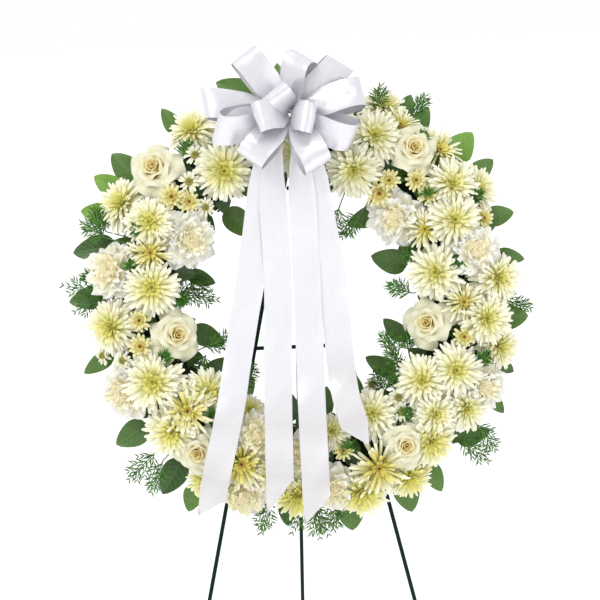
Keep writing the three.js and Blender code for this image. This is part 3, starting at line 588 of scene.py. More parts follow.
# Sets one of the given kinds on each point, turned and sized by the point's own attributes
def addScatterTree():
    tree = bpy.data.node_groups.new("setOutByNumber", "GeometryNodeTree")
    for name, kind, value in (
        ("Geometry", "Geometry", None), ("Kinds", "Collection", None), ("Size", "Float", 1),
        ("Sway", "Float", 0.1), ("Seed", "Int", 7), ("Material", "Material", None),
    ):
        socket = tree.interface.new_socket(name, in_out="INPUT", socket_type="NodeSocket" + kind)
        if value is not None:
            socket.default_value = value
    tree.interface.new_socket("Geometry", in_out="OUTPUT", socket_type="NodeSocketGeometry")
    given = addNode(tree, "NodeGroupInput").outputs

    def named(name, kind):
        node = addNode(tree, "GeometryNodeInputNamedAttribute", {"Name": name}, data_type=kind)
        return node.outputs["Attribute"]

    kinds = addNode(tree, "GeometryNodeCollectionInfo", {
        "Collection": given["Kinds"],
        "Separate Children": True,
        "Reset Children": True,
    })
    sway = addNode(tree, "FunctionNodeRandomValue", {
        "Min": maths(tree, "MULTIPLY", given["Sway"], -1),
        "Max": given["Sway"],
        "Seed": given["Seed"],
    }, data_type="FLOAT_VECTOR")
    swayTurn = addNode(tree, "FunctionNodeEulerToRotation", {0: sway.outputs["Value"]})
    turned = addNode(
        tree, "FunctionNodeRotateRotation", {0: named("turn", "QUATERNION"), 1: swayTurn.outputs[0]},
        rotation_space="LOCAL")
    sized = addNode(
        tree, "ShaderNodeVectorMath", {0: named("size", "FLOAT_VECTOR"), "Scale": given["Size"]},
        operation="SCALE")
    copies = addNode(tree, "GeometryNodeInstanceOnPoints", {
        "Points": given["Geometry"],
        "Instance": kinds.outputs[0],
        "Pick Instance": True,
        "Instance Index": named("kind", "INT"),
        "Rotation": turned.outputs[0],
        "Scale": sized.outputs[0],
    })
    realised = addNode(tree, "GeometryNodeRealizeInstances", {0: copies.outputs[0]})
    coloured = addNode(tree, "GeometryNodeSetMaterial", {
        "Geometry": realised.outputs[0],
        "Material": given["Material"],
    })
    addNode(tree, "NodeGroupOutput", {0: coloured.outputs[0]})
    return tree


scatterTree = addScatterTree()
pointLayers = (
    ("turn", "QUATERNION", "value"), ("size", "FLOAT_VECTOR", "vector"), ("kind", "INT", "value"),
    ("innerShare", "FLOAT", "value"), ("tintShare", "FLOAT", "value"),
)


# Points for the tree: where each copy goes, its own X, Y and Z directions and how big it is
class Scatter:
    def __init__(self):
        self.rows = []

    def add(self, place, axes, size, kind=0, inner=0.0, tint=0.5):
        turn = Matrix(axes).transposed().to_quaternion()
        self.rows.append((tuple(place), tuple(turn), tuple(size), kind, inner, tint))

    def make(self, name, kinds, material, sway, seed):
        mesh = bpy.data.meshes.new(name)
        mesh.from_pydata([row[0] for row in self.rows], [], [])
        for column, (key, kind, field) in enumerate(pointLayers, 1):
            layer = mesh.attributes.new(key, kind, "POINT")
            layer.data.foreach_set(field, np.array([row[column] for row in self.rows]).ravel())
        holder = bpy.data.objects.new(name, mesh)
        bpy.context.scene.collection.objects.link(holder)
        modifier = holder.modifiers.new("setOut", "NODES")
        modifier.node_group = scatterTree
        values = {"Kinds": kinds, "Sway": sway, "Seed": seed, "Material": material}
        for item in scatterTree.interface.items_tree:
            if item.in_out == "INPUT" and item.name in values:
                modifier[item.identifier] = values[item.name]
        graph = bpy.context.evaluated_depsgraph_get()
        result = bpy.data.meshes.new_from_object(holder.evaluated_get(graph), depsgraph=graph)
        holder.modifiers.clear()
        holder.data = result
        result.name = name
        for target in ("inner", "tint"):
            shares = np.zeros(len(result.vertices), np.float32)
            result.attributes[target + "Share"].data.foreach_get("value", shares)
            result.attributes[target].data.foreach_set("value", shares)
        for key, _, _ in pointLayers:
            if key in result.attributes:
                result.attributes.remove(result.attributes[key])
        result.polygons.foreach_set("use_smooth", [True] * len(result.polygons))
        result.update()
        return holder


petalKinds = {kind: petalCollection(kind) for kind in petalShapes}
eyeKinds = {kind: domeCollection(kind) for kind in eyeLooks}
print("petals made")

# How the petals of a bloom are set out, ring by ring from the outside in. A ring is its count, length,
# width, tilt, start, rise and kind. Lengths are in radii of the bloom, and tilts in degrees above the
# plane that the bloom faces.
bloomRings = {
    "mum": {
        "rings": [
            (38, 1.0, 0.13, -12, 0.08, -0.1, 0), (36, 0.99, 0.13, -2, 0.06, -0.05, 0),
            (33, 0.92, 0.125, 7, 0.05, -0.01, 1), (28, 0.8, 0.12, 17, 0.05, 0.02, 1),
            (22, 0.64, 0.115, 29, 0.05, 0.04, 1), (17, 0.46, 0.1, 42, 0.04, 0.06, 2),
            (13, 0.29, 0.085, 58, 0.02, 0.08, 2),
        ],
        "eye": 0.16, "sway": 0.13, "vary": 0.14,
    },
    "spider": {
        "rings": [
            (22, 1.12, 0.115, 0, 0.1, -0.04, 0), (20, 0.98, 0.115, 13, 0.1, 0.0, 1),
            (16, 0.7, 0.11, 29, 0.1, 0.02, 1), (13, 0.4, 0.1, 48, 0.08, 0.03, 2),
        ],
        "eye": 0.13, "sway": 0.2, "vary": 0.24,
    },
    "button": {
        "rings": [
            (13, 1.0, 0.3, 6, 0.1, -0.02, 0), (12, 0.8, 0.28, 26, 0.1, 0.03, 1),
            (10, 0.52, 0.24, 48, 0.1, 0.05, 2),
        ],
        "eye": 0.26, "sway": 0.12, "vary": 0.12,
    },
    "aster": {
        "rings": [(12, 1.05, 0.34, 2, 0.2, -0.05, 0), (9, 0.85, 0.3, 16, 0.2, 0.0, 1)],
        "eye": 0.46, "sway": 0.14, "vary": 0.14,
    },
    "carnation": {
        "rings": [
            (9, 1.12, 0.96, 16, 0.05, -0.34, 0), (9, 1.08, 0.9, 30, 0.05, -0.34, 0),
            (10, 1.02, 0.8, 44, 0.05, -0.34, 1), (10, 1.0, 0.7, 57, 0.04, -0.34, 1),
            (10, 0.98, 0.6, 68, 0.05, -0.34, 1), (8, 0.95, 0.5, 78, 0.06, -0.34, 2),
            (6, 0.92, 0.44, 87, 0.04, -0.34, 2),
        ],
        "eye": 0.44, "sway": 0.26, "vary": 0.14,
    },
}

# Places are (across, up) in millimetres from the wreath's centre, as seen from the front, then radii
roses = [(-180, 160, 34), (-156, -41, 31), (-131, -181, 28), (131, 181, 31), (148, -29, 30), (118, -176, 28)]
carnations = [
    (-138, 73, 30), (-236, 38, 30), (-220, -110, 29), (-56, -163, 28), (-76, -236, 28), (216, -107, 29),
    (206, 59, 28), (109, 97, 30),
]
sprays = {
    "mum_spray_01": {"mum": [(-136, 208, 28), (-97, 155, 32), (-53, 214, 28), (-7, 178, 28)]},
    "mum_spray_02": {
        "mum": [(-222, 120, 31), (-187, 95, 28)], "spider": [(-186, 58, 22)],
        "aster": [(-204, 60, 9), (-172, 88, 9)],
    },
    "mum_spray_03": {
        "mum": [(-185, 16, 31), (-235, -31, 30)], "button": [(-200, -23, 12), (-199, -54, 13)],
        "aster": [(-196, -74, 9), (-222, -71, 9), (-251, -66, 9)],
    },
    "mum_spray_04": {
        "mum": [(-184, -97, 33), (-162, -157, 31), (-119, -109, 27)], "spider": [(-143, -132, 28)],
    },
    "mum_spray_05": {"mum": [(-116, -217, 28), (-68, -130, 18)], "spider": [(-79, -196, 29)]},
    "mum_spray_06": {"mum": [(-13, -236, 28), (-36, -206, 26)]},
    "mum_spray_07": {
        "mum": [(67, -234, 31), (125, -217, 27), (79, -137, 29), (30, -157, 22)], "spider": [(86, -203, 29)],
        "button": [(143, -204, 11), (43, -181, 11)],
    },
    "mum_spray_08": {
        "mum": [(139, -98, 31), (180, -86, 30), (155, -139, 26), (194, -133, 28), (150, -172, 29)],
        "aster": [(110, -118, 10), (113, -135, 9), (101, -129, 9), (79, -100, 9)],
    },
    "mum_spray_09": {
        "mum": [(218, -24, 31), (234, 25, 31), (236, -58, 27)], "spider": [(190, -4, 20)],
        "button": [(190, -46, 12)],
    },
    "mum_spray_10": {
        "mum": [(157, 32, 33), (180, 95, 31)], "spider": [(144, 84, 20)], "button": [(218, 98, 12)],
    },
    "mum_spray_11": {
        "mum": [(179, 139, 31), (212, 137, 28)], "spider": [(166, 182, 24)],
        "aster": [(161, 210, 10), (163, 197, 9)],
    },
    "mum_spray_12": {
        "mum": [(85, 198, 31), (102, 236, 28), (59, 156, 32), (35, 216, 26)], "spider": [(118, 213, 20)],
    },
    "button_spray_left": {"button": [(-160, 125, 14), (-139, 119, 12)]},
    "button_spray_right": {"button": [(101, 143, 12), (90, 128, 16), (134, 143, 12), (149, 126, 12)]},
    "aster_spray": {"aster": [(-119, 112, 9), (-139, 143, 10), (-132, 176, 10)]},
    "carnation_spray": {"carnation": [(-4, -184, 24), (30, -229, 24)]},
}
seeds = {
    "sprays": 100, "carnations": 300, "roses": 500, "leaves": 700, "ferns": 900, "wisps": 77, "tucked": 21,
    "wispNeedles": 5,
}
# How far round the ring's section a bloom may sit, and how much yellower some blooms are
bloomSetting = {"mostLean": 0.96, "yellowLeft": 0.12, "yellowBottom": 0.24, "bottom": -160, "eyeRise": 0.04}


# A bloom faces away from the middle of the ring's section. This gives that middle, the bloom's
# centre and the way it faces.
def placeOf(x, z):
    flat = Vector((x, 0, z)) / 1000
    radius = flat.length
    outward = flat / radius
    share = (radius - setting["coreRadius"]) / (setting["standoff"] + 0.002)
    lean = math.asin(max(-bloomSetting["mostLean"], min(bloomSetting["mostLean"], share)))
    facing = outward * math.sin(lean) + towardsViewer * math.cos(lean)
    core = outward * setting["coreRadius"] + Vector((0, setting["coreDepth"], 0))
    return core, core + facing * setting["standoff"], facing


# The directions of a bloom: two across it and the way its head faces, nodding back towards the viewer
def bloomAxes(facing, turn):
    nodding = towardsViewer.lerp(facing, setting["headLean"]).normalized()
    up = (wreathPlace.to_3x3() @ nodding).normalized()
    side = Quaternion(up, turn) @ up.orthogonal().normalized()
    return side, up.cross(side), up


# Blooms at the left and at the bottom are the yellower ones
def setOutBloom(scatter, eyes, kind, x, z, millimetres, rng):
    core, centre, facing = placeOf(x, z)
    across, other, up = bloomAxes(facing, rng.uniform(0, 2 * math.pi))
    middle = wreathPlace @ centre
    radius = millimetres / 1000 * setting["headSize"]
    design = bloomRings[kind]
    rings = design["rings"]
    yellow = rng.uniform(0, 0.1) + (bloomSetting["yellowLeft"] if x < 0 else 0)
    yellow += bloomSetting["yellowBottom"] if z < bloomSetting["bottom"] else 0
    for number, (count, longest, widest, rise, start, lift, usual) in enumerate(rings):
        inner = min(1, number / (len(rings) - 1) + yellow)
        offset = rng.uniform(0, 6)
        for k in range(count):
            turn = offset + 2 * math.pi * (k + rng.uniform(-0.18, 0.18)) / count
            tilt = math.radians(rise + rng.uniform(-6, 6))
            out = across * math.cos(turn) + other * math.sin(turn)
            along = out * math.cos(tilt) + up * math.sin(tilt)
            above = up * math.cos(tilt) - out * math.sin(tilt)
            length = radius * longest * (1 + rng.uniform(-1, 0.5) * design["vary"])
            width = radius * widest * rng.uniform(0.85, 1.15)
            place = middle + out * radius * start + up * radius * lift
            sort = min(2, max(0, usual + rng.choice((0, 0, 1, -1))))
            axes = (along, above.cross(along), above)
            scatter.add(place, axes, (length, width, length), sort, inner, rng.random())
    eyePlace = middle + up * radius * bloomSetting["eyeRise"]
    eyes.add(eyePlace, (across, other, up), [radius * design["eye"]] * 3)
    return core, centre, facing, radius


# The radii of stems: a neck's foot, middle and end, the branches of a spray and its stem in the foam
stemSizes = {"neckFoot": 0.0017, "neckMiddle": 0.0022, "neckEnd": 0.0045, "branch": 0.0014, "stem": 0.0016}


def addStems(builder, members):
    feet = []
    for core, centre, facing, radius in members:
        foot = core + facing * setting["linkStandoff"]
        neck = centre - facing * radius * 0.12
        end = min(stemSizes["neckEnd"], radius * 0.3)
        sizes = [stemSizes["neckFoot"], stemSizes["neckMiddle"], end]
        builder.addRod(carried(foot, foot.lerp(neck, 0.55), neck), sizes, 7)
        if feet:
            nearest = min(feet, key=lambda p: (p - foot).length)
            builder.addRod(carried(foot, nearest), stemSizes["branch"], 6)
        feet.append(foot)
    core, _, facing, _ = members[0]
    builder.addRod(carried(core + facing * setting["stemEnd"], feet[0]), stemSizes["stem"], 7)


# A spray takes the place of the solid of its name: its blooms and stems are built, joined and hung on the
# stand
def addSpray(name, blooms, seed):
    rng = random.Random(seed)
    members, pieces = [], []
    for kind, places in blooms.items():
        petals, eyes = Scatter(), Scatter()
        for x, z, size in places:
            members.append(setOutBloom(petals, eyes, kind, x, z, size, rng))
        part = f"{name}_{kind}"
        pieces.append(petals.make(part, petalKinds[kind], petalLooks[kind], bloomRings[kind]["sway"], seed))
        pieces.append(eyes.make(part + "_eyes", eyeKinds[kind], eyeLooks[kind], 0, seed))
    stems = Builder()
    addStems(stems, members)
    pieces.append(stems.make(name + "_stems", stemLook))
    finishPiece(join(pieces, name + "_bloom"), name)


for number, (name, blooms) in enumerate(sprays.items()):
    addSpray(name, blooms, seeds["sprays"] + number)
for number, place in enumerate(carnations):
    addSpray(f"carnation_{number + 1}", {"carnation": [place]}, seeds["carnations"] + number)
print("sprays and carnations set out")

# A rose is one spiral of broad petals, wrapped tight in the middle and turned back at the outside
roseShape = {
    "petals": 23, "rows": 11, "columns": 11, "rim": 1.02, "bud": 0.06, "height": 0.52, "foot": -0.42,
    "turn": 2.4, "thickness": 0.0006,
}


def rosePetal(k, radius, rng):
    share = k / (roseShape["petals"] - 1)
    u = np.linspace(0, 1, roseShape["rows"])[:, None]
    v = np.linspace(-1, 1, roseShape["columns"])[None]
    rim = radius * (roseShape["bud"] + (roseShape["rim"] - roseShape["bud"]) * share**1.1)
    top = radius * (roseShape["height"] - 0.5 * share**1.8)
    foot = radius * roseShape["foot"]
    base = radius * (0.03 + 0.18 * share)
    wrap = math.radians(116 - 70 * share**0.6) * (1 + rng.uniform(-0.1, 0.1))
    width = np.sin(math.pi * (0.14 + 0.6 * u)) ** 0.7 * (1 - 0.34 * u**6)
    turn = roseShape["turn"] * k + v * wrap * width
    long = 1 + 0.09 * (1 - np.abs(v) ** 1.4) * u**4
    reach = base + (rim - base) * u ** (0.75 + 0.75 * share) * long
    drop = np.abs(v) ** 2.2 * u**2 * radius * (0.07 + 0.14 * share)
    rise = foot + (top - foot) * np.sin(u * math.pi / 2) * long - drop
    turnedBack = np.clip((u - 0.76) / 0.24, 0, 1) ** 1.5 * (0.1 + 0.9 * share**1.5)
    reach = reach + turnedBack * radius * (0.08 + 0.12 * np.abs(v))
    rise = rise - turnedBack * radius * (0.12 + 0.26 * np.abs(v))
    wave = 0.025 * radius * np.sin(v * 4 + k) * u**2
    return np.stack([reach * np.cos(turn), reach * np.sin(turn), rise + wave], axis=2), 1 - share


def addRose(number, x, z, size):
    rng = random.Random(seeds["roses"] + number)
    core, centre, facing = placeOf(x, z)
    basis = np.array(bloomAxes(facing, rng.uniform(0, 6)))
    middle = np.array(wreathPlace @ centre)
    radius = size / 1000
    petals, stems = Builder(), Builder()
    for k in range(roseShape["petals"]):
        grid, inner = rosePetal(k, radius, rng)
        petals.addShell(grid @ basis + middle, roseShape["thickness"], inner, rng.random())
    addStems(stems, [(core, centre, facing, radius)])
    name = f"rose_{number + 1}"
    pieces = [petals.make(name + "_petals", petalLooks["rose"]), stems.make(name + "_stems", stemLook)]
    finishPiece(join(pieces, name + "_bloom"), name)


for number, place in enumerate(roses):
    addRose(number, *place)
print("roses made")

# Leaves are (across, up, heading in degrees, length, width) in millimetres, and how light their green is
leafStems = {
    "outer_leaves_1": [
        (-29, 273, 92, 42, 22, 0.5), (-80, 259, 155, 56, 38, 0.4), (-161, 222, 125, 40, 24, 0.4),
        (-218, 167, 135, 46, 36, 0.35), (-239, 145, 148, 40, 30, 1.0),
    ],
    "outer_leaves_2": [
        (-252, 110, 172, 42, 30, 1.0), (-256, 66, 190, 54, 36, 0.15), (-264, 5, 190, 48, 32, 0.35),
        (-252, -74, 215, 44, 24, 0.4),
    ],
    "outer_leaves_3": [
        (-212, -162, 212, 46, 36, 0.3), (-163, -214, 240, 50, 36, 0.1), (-138, -240, 252, 36, 28, 0.45),
        (-22, -257, 268, 38, 28, 0.2),
    ],
    "outer_leaves_4": [
        (56, -262, 275, 42, 38, 0.45), (126, -240, 285, 44, 36, 0.4), (158, -218, 300, 42, 28, 0.5),
        (209, -168, 20, 44, 24, 0.3),
    ],
    "outer_leaves_5": [
        (234, -126, 310, 38, 22, 0.4), (243, -80, 330, 38, 26, 0.3), (257, -22, 4, 42, 34, 0.45),
        (256, 53, 350, 38, 22, 0.4), (243, 104, 12, 38, 28, 0.45),
    ],
    "outer_leaves_6": [
        (222, 161, 40, 38, 28, 0.4), (194, 187, 48, 54, 42, 0.95), (146, 220, 60, 44, 28, 0.4),
        (128, 237, 66, 38, 26, 0.3),
    ],
    "inner_leaves_1": [(-86, 106, 318, 50, 34, 0.4)],
    "inner_leaves_2": [(-125, 29, 340, 36, 22, 0.3), (-118, -43, 335, 46, 30, 0.35)],
    "inner_leaves_3": [(-106, -78, 30, 34, 20, 0.3), (-70, -108, 62, 34, 20, 0.4)],
    "inner_leaves_4": [
        (-16, -132, 92, 34, 22, 0.2), (26, -124, 85, 38, 22, 0.3), (62, -104, 104, 36, 20, 0.4),
    ],
    "inner_leaves_5": [(94, -80, 150, 42, 26, 0.35), (112, -36, 135, 38, 24, 0.3)],
    "inner_leaves_6": [(106, 49, 165, 46, 34, 0.3), (76, 101, 200, 46, 28, 0.4)],
}
leafShape = {"rows": 15, "columns": 7, "fold": 0.12, "droop": 0.1, "thickness": 0.0007, "curl": 0.05}
twigs = {
    "outer": 0.2335, "inner": 0.1522, "depth": -0.02, "clear": 0.004, "stagger": 0.0024, "step": 0.05,
    "stalk": [0.0011, 0.0009, 0.0007], "arc": 0.0015, "root": 0.0012, "foot": 0.003,
}


def leafGrid(length, width, rng):
    u = np.linspace(0, 1, leafShape["rows"])[:, None]
    v = np.linspace(-1, 1, leafShape["columns"])[None]
    half = width * 0.5 * np.sin(math.pi * u**0.82) ** 0.62 * (1 - 0.18 * u)
    half = np.maximum(half, 0.0003)
    bend = rng.uniform(-1, 1)
    x = u * length - 0.03 * length * np.abs(v) * np.sin(math.pi * u)
    y = v * half + 0.05 * bend * length * u * (1 - u)
    z = -leafShape["droop"] * length * u**2 + leafShape["fold"] * np.abs(v) * half * 2
    z = z + leafShape["curl"] * length * np.sin(6 * u + 3 * bend) * v * u * 0.3
    return np.stack(np.broadcast_arrays(x, y, z), axis=2)


def addLeafStem(name, leaves, seed):
    rng = random.Random(seed)
    blades, stems = Builder(), Builder()
    side = name.split("_")[0]
    twig, depth = twigs[side], twigs["depth"]
    outwards, further = (1, max) if side == "outer" else (-1, min)
    turns = []
    for k, (x, z, degrees, length, width, tint) in enumerate(leaves):
        along = onRing(1, math.radians(degrees), 0)
        base = Vector((x, 0, z)) / 1000 - along * length / 2000
        base = base.normalized() * further(base.length, twig + outwards * twigs["clear"])
        base.y = depth + (k % 2) * twigs["stagger"]
        basis = np.array([along, towardsViewer.cross(along), towardsViewer])
        grid = leafGrid(length / 1000, width / 1000, rng) @ basis + np.array(base)
        blades.addShell(toRow(grid), leafShape["thickness"], 0, tint)
        turns.append(math.atan2(base.z, base.x) % (2 * math.pi))
        joint = onRing(twig, turns[-1], depth)
        stems.addRod(carried(joint, joint.lerp(base, 0.6), base + along * twigs["foot"]), twigs["stalk"], 6)
    seam = max(turns) - min(turns) > math.pi
    turns = [t + 2 * math.pi if seam and t < math.pi else t for t in turns]
    first, last = min(turns) - twigs["step"], max(turns) + twigs["step"]
    steps = max(3, math.ceil((last - first) / twigs["step"]))
    arc = [onRing(twig, first + (last - first) * i / steps, depth) for i in range(steps + 1)]
    stems.addRod(carried(*arc), twigs["arc"], 7)
    middle = (first + last) / 2
    end = onRing(twig - outwards * setting["rootLength"], middle, depth)
    stems.addRod(carried(onRing(twig, middle, depth), end), twigs["root"], 7)
    pieces = [blades.make(name + "_blades", salalLook), stems.make(name + "_stems", stemLook)]
    finishPiece(join(pieces, name + "_green"), name)


for number, (name, leaves) in enumerate(leafStems.items()):
    addLeafStem(name, leaves, seeds["leaves"] + number)
print("leaves made")

# Fern: a rib with side branches, each crowded with needles. Fronds are (angle, heading, length).
ferns = {
    "fern_left": ("outer", [(177, 172, 66), (177, 205, 56)]),
    "fern_bottom": ("outer", [(271, 248, 58), (271, 292, 62)]),
    "fern_inner": ("inner", [(176, 350, 50), (176, 20, 44)]),
}
fernShape = {
    "outer": 0.231, "inner": 0.155, "depth": -0.0278, "branches": 3, "needles": 8, "sideNeedles": 3,
    "needleLength": 0.0145, "needleWidth": 0.0023, "rib": 0.0009, "sideRib": 0.0005, "root": 0.0012,
}


# A needle is pointed at both ends and has three sides
def needleCollection():
    turns = [2 * math.pi * k / 3 for k in range(3)]
    points = [(0, 0, 0), *((0.4, 0.5 * math.cos(t), 0.5 * math.sin(t)) for t in turns), (1, 0, 0)]
    faces = []
    for i, j in ((1, 2), (2, 3), (3, 1)):
        faces += [[0, j, i], [4, i, j]]
    builder = Builder()
    builder.add(np.array(points), faces, [0, 0.4, 0.4, 0.4, 1], 0.5)
    group = bpy.data.collections.new("needleKinds")
    putInto(group, builder.make("needle", fernLook))
    return group


needleKinds = needleCollection()


# One flat frond. Root is its foot and heading its way, both in the wreath's frame. Lift brings it forward.
def addFrond(needles, ribs, root, heading, length, rng, lift=0.0):
    along = Vector((math.cos(heading), -lift, math.sin(heading))).normalized()
    across = towardsViewer.cross(along).normalized()
    normal = along.cross(across)
    rotate = wreathPlace.to_3x3()

    def branch(start, way, size, width, count):
        end = start + way * size
        leftward = normal.cross(way)
        ribs.addRod(carried(start, start.lerp(end, 0.5), end), [width, width * 0.8, width * 0.4], 5)
        for i in range(count):
            share = (i + 0.6) / count
            point = start + way * size * share
            for side in (1, -1):
                spread = math.radians(rng.uniform(22, 42)) * side
                pitch = rng.uniform(-0.4, 0.4)
                needle = (way * math.cos(spread) + leftward * math.sin(spread) + normal * pitch).normalized()
                ahead = rotate @ needle
                beside = ahead.orthogonal().normalized()
                long = fernShape["needleLength"] * (1.1 - 0.6 * share) * rng.uniform(0.8, 1.2)
                spans = (long, fernShape["needleWidth"], fernShape["needleWidth"])
                axes = (ahead, beside, ahead.cross(beside))
                needles.add(wreathPlace @ point, axes, spans, 0, 0, rng.random())

    branch(root, along, length, fernShape["rib"], fernShape["needles"])
    for k in range(fernShape["branches"]):
        share = 0.1 + 0.78 * k / fernShape["branches"]
        start = root + along * length * share
        for side in (1, -1):
            spread = math.radians(rng.uniform(30, 42)) * side
            way = (along * math.cos(spread) + across * math.sin(spread)).normalized()
            size = length * 0.42 * (1 - 0.6 * share) * rng.uniform(0.8, 1.15)
            branch(start, way, size, fernShape["sideRib"], fernShape["sideNeedles"])


def addFern(name, side, fronds, seed):
    rng = random.Random(seed)
    needles, ribs = Scatter(), Builder()
    surface, depth = fernShape[side], fernShape["depth"]
    for degrees, heading, length in fronds:
        root = onRing(surface, math.radians(degrees), depth)
        addFrond(needles, ribs, root, math.radians(heading), length / 1000, rng)
    inwards = setting["rootLength"] if side == "inner" else -setting["rootLength"]
    turn = math.radians(fronds[0][0])
    ends = (onRing(radius, turn, depth) for radius in (surface, surface + inwards))
    ribs.addRod(carried(*ends), fernShape["root"], 6)
    needlePiece = needles.make(name + "_needles", needleKinds, fernLook, 0.05, seed)
    pieces = [needlePiece, ribs.make(name + "_ribs", stemLook)]
    finishPiece(join(pieces, name + "_green"), name)


for number, (name, (side, fronds)) in enumerate(ferns.items()):
    addFern(name, side, fronds, seeds["ferns"] + number)

# Loose fern tips that show between the blooms: (across, up, heading, length)
wisps = [
    (-250, 84, 150, 24), (-246, 96, 120, 20), (-250, 32, 185, 22), (-190, -190, 225, 36),
    (-178, -204, 250, 30), (-48, -252, 255, 32), (10, -256, 280, 34), (36, -252, 262, 28),
    (196, -176, 318, 36), (214, -160, 305, 30), (252, -4, 340, 26), (106, -60, 120, 24),
    (116, -80, 140, 22), (94, -104, 110, 24), (120, 12, 160, 20), (-112, -52, 20, 28),
    (-74, -98, 60, 26), (40, 104, 250, 30), (62, 96, 230, 26), (92, 240, 80, 22), (140, 232, 60, 20),
    (208, -88, 20, 24), (178, -38, 100, 22), (-206, 50, 150, 22), (-176, 46, 80, 22),
]
# Sprigs that poke up between the blooms: (across, up, heading, length)
sprigs = [
    (-191, 80, 150, 24), (-168, 38, 200, 26), (-150, 12, 300, 24), (-214, 30, 80, 22), (-110, -60, 250, 24),
    (-180, -72, 20, 22), (-110, -150, 100, 24), (-98, -176, 300, 22), (8, -206, 80, 26), (54, -190, 110, 24),
    (110, -150, 60, 24), (104, -106, 100, 24), (120, -60, 100, 26), (212, -84, 60, 24), (204, 120, 40, 22),
    (150, 112, 100, 24), (132, 56, 200, 22), (190, 60, 250, 24), (144, 186, 80, 24), (60, 180, 20, 20),
    (-150, 178, 60, 22),
]
tucked = {
    "leaves": 84, "inner": 0.156, "outer": 0.236, "depth": -0.06, "rimRise": 0.022, "coreDepth": -0.046,
    "stalk": 0.0008, "wispRoot": 0.012, "wispRing": (165, 222), "wispDepth": -0.056, "sprigStalk": 0.0007,
    "sprigRoot": 0.006, "sprigFoot": 0.03,
}


# Leaves pushed in under the blooms all the way round, in three lanes, close the gaps between them
def addTuckedLeaves(blades, ribs):
    rng = random.Random(seeds["tucked"])
    for k in range(tucked["leaves"]):
        turn = 2 * math.pi * (k + rng.uniform(-0.3, 0.3)) / tucked["leaves"]
        lane = (k % 3) / 2
        away = tucked["inner"] + (tucked["outer"] - tucked["inner"]) * lane + rng.uniform(-0.006, 0.006)
        length, width = rng.uniform(0.034, 0.046), rng.uniform(0.022, 0.032)
        heading = turn + rng.uniform(-0.6, 0.6) + (math.pi if lane == 0 else 0)
        if lane == 0.5:
            heading = rng.uniform(0, 2 * math.pi)
        along = Vector((math.cos(heading), rng.uniform(-0.25, 0.1), math.sin(heading))).normalized()
        across = towardsViewer.cross(along).normalized()
        basis = np.array([along, across, along.cross(across)])
        depth = tucked["depth"] + tucked["rimRise"] * abs(lane - 0.5) * 2
        place = onRing(away, turn, depth) - along * length * 0.5
        grid = leafGrid(length, width, rng) @ basis + np.array(place)
        blades.addShell(toRow(grid), leafShape["thickness"], 0, rng.uniform(0.05, 0.5))
        core = onRing(setting["coreRadius"], turn, tucked["coreDepth"])
        ribs.addRod(carried(place + along * twigs["foot"], core), tucked["stalk"], 5)


def addWisps():
    rng = random.Random(seeds["wisps"])
    needles, ribs, blades = Scatter(), Builder(), Builder()
    addTuckedLeaves(blades, ribs)
    for x, z, degrees, length in wisps:
        heading = math.radians(degrees)
        underBlooms = tucked["wispRing"][0] < math.hypot(x, z) < tucked["wispRing"][1]
        depth = tucked["wispDepth"] if underBlooms else tucked["coreDepth"]
        root =Vector((x / 1000, depth, z / 1000)) - onRing(tucked["wispRoot"], heading, 0)
        long = length / 1000 + tucked["wispRoot"]
        addFrond(needles, ribs, root, heading, long, rng, rng.uniform(0.1, 0.35))
        core = onRing(setting["coreRadius"], math.atan2(z, x), tucked["coreDepth"])
        ribs.addRod(carried(root, root.lerp(core, 0.5), core), tucked["stalk"], 5)
    for x, z, degrees, length in sprigs:
        core, centre, facing = placeOf(x, z)
        root = centre - facing * tucked["sprigRoot"]
        addFrond(needles, ribs, root, math.radians(degrees), length / 1000, rng, rng.uniform(0.45, 0.8))
        ribs.addRod(carried(root, core + facing * tucked["sprigFoot"]), tucked["sprigStalk"], 5)
    pieces = [
        needles.make("wisp_needles", needleKinds, fernLook, 0.1, seeds["wispNeedles"]),
        ribs.make("wisp_ribs", stemLook),
        blades.make("tucked_blades", salalLook),
    ]
    piece = join(pieces, "tucked_greens")
    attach(piece, "stand")


addWisps()
print("fern made")

# The ribbon. A loop is its way in the picture, how far it stands forward, its length, half depth and roll.
ribbon = {
    "width": 0.036, "thickness": 0.0005, "pickAt": (-20, 213), "pickLength": 0.1, "knot": 0.012,
    "shift": (0.002, 0, -0.004),
}
bowLoops = [
    (128, 8, 90, 15, 6), (77, 14, 72, 19, -34), (45, 4, 86, 15, 8), (16, 16, 92, 17, -14),
    (338, 22, 86, 18, 34), (296, 30, 84, 17, -10), (229, 30, 86, 17, 10), (193, 22, 96, 19, -34),
    (173, 8, 104, 15, 8), (192, 54, 66, 15, 6), (135, 58, 54, 13, 0), (340, 62, 52, 14, 6),
]
pickCore, _, pickFacing = placeOf(*ribbon["pickAt"])
knot = pickCore + pickFacing * ribbon["pickLength"] + Vector(ribbon["shift"])


def sheetArea(grid):
    down, across = grid[1:, :-1] - grid[:-1, :-1], grid[:-1, 1:] - grid[:-1, :-1]
    return float(np.linalg.norm(np.cross(down, across), axis=2).sum())


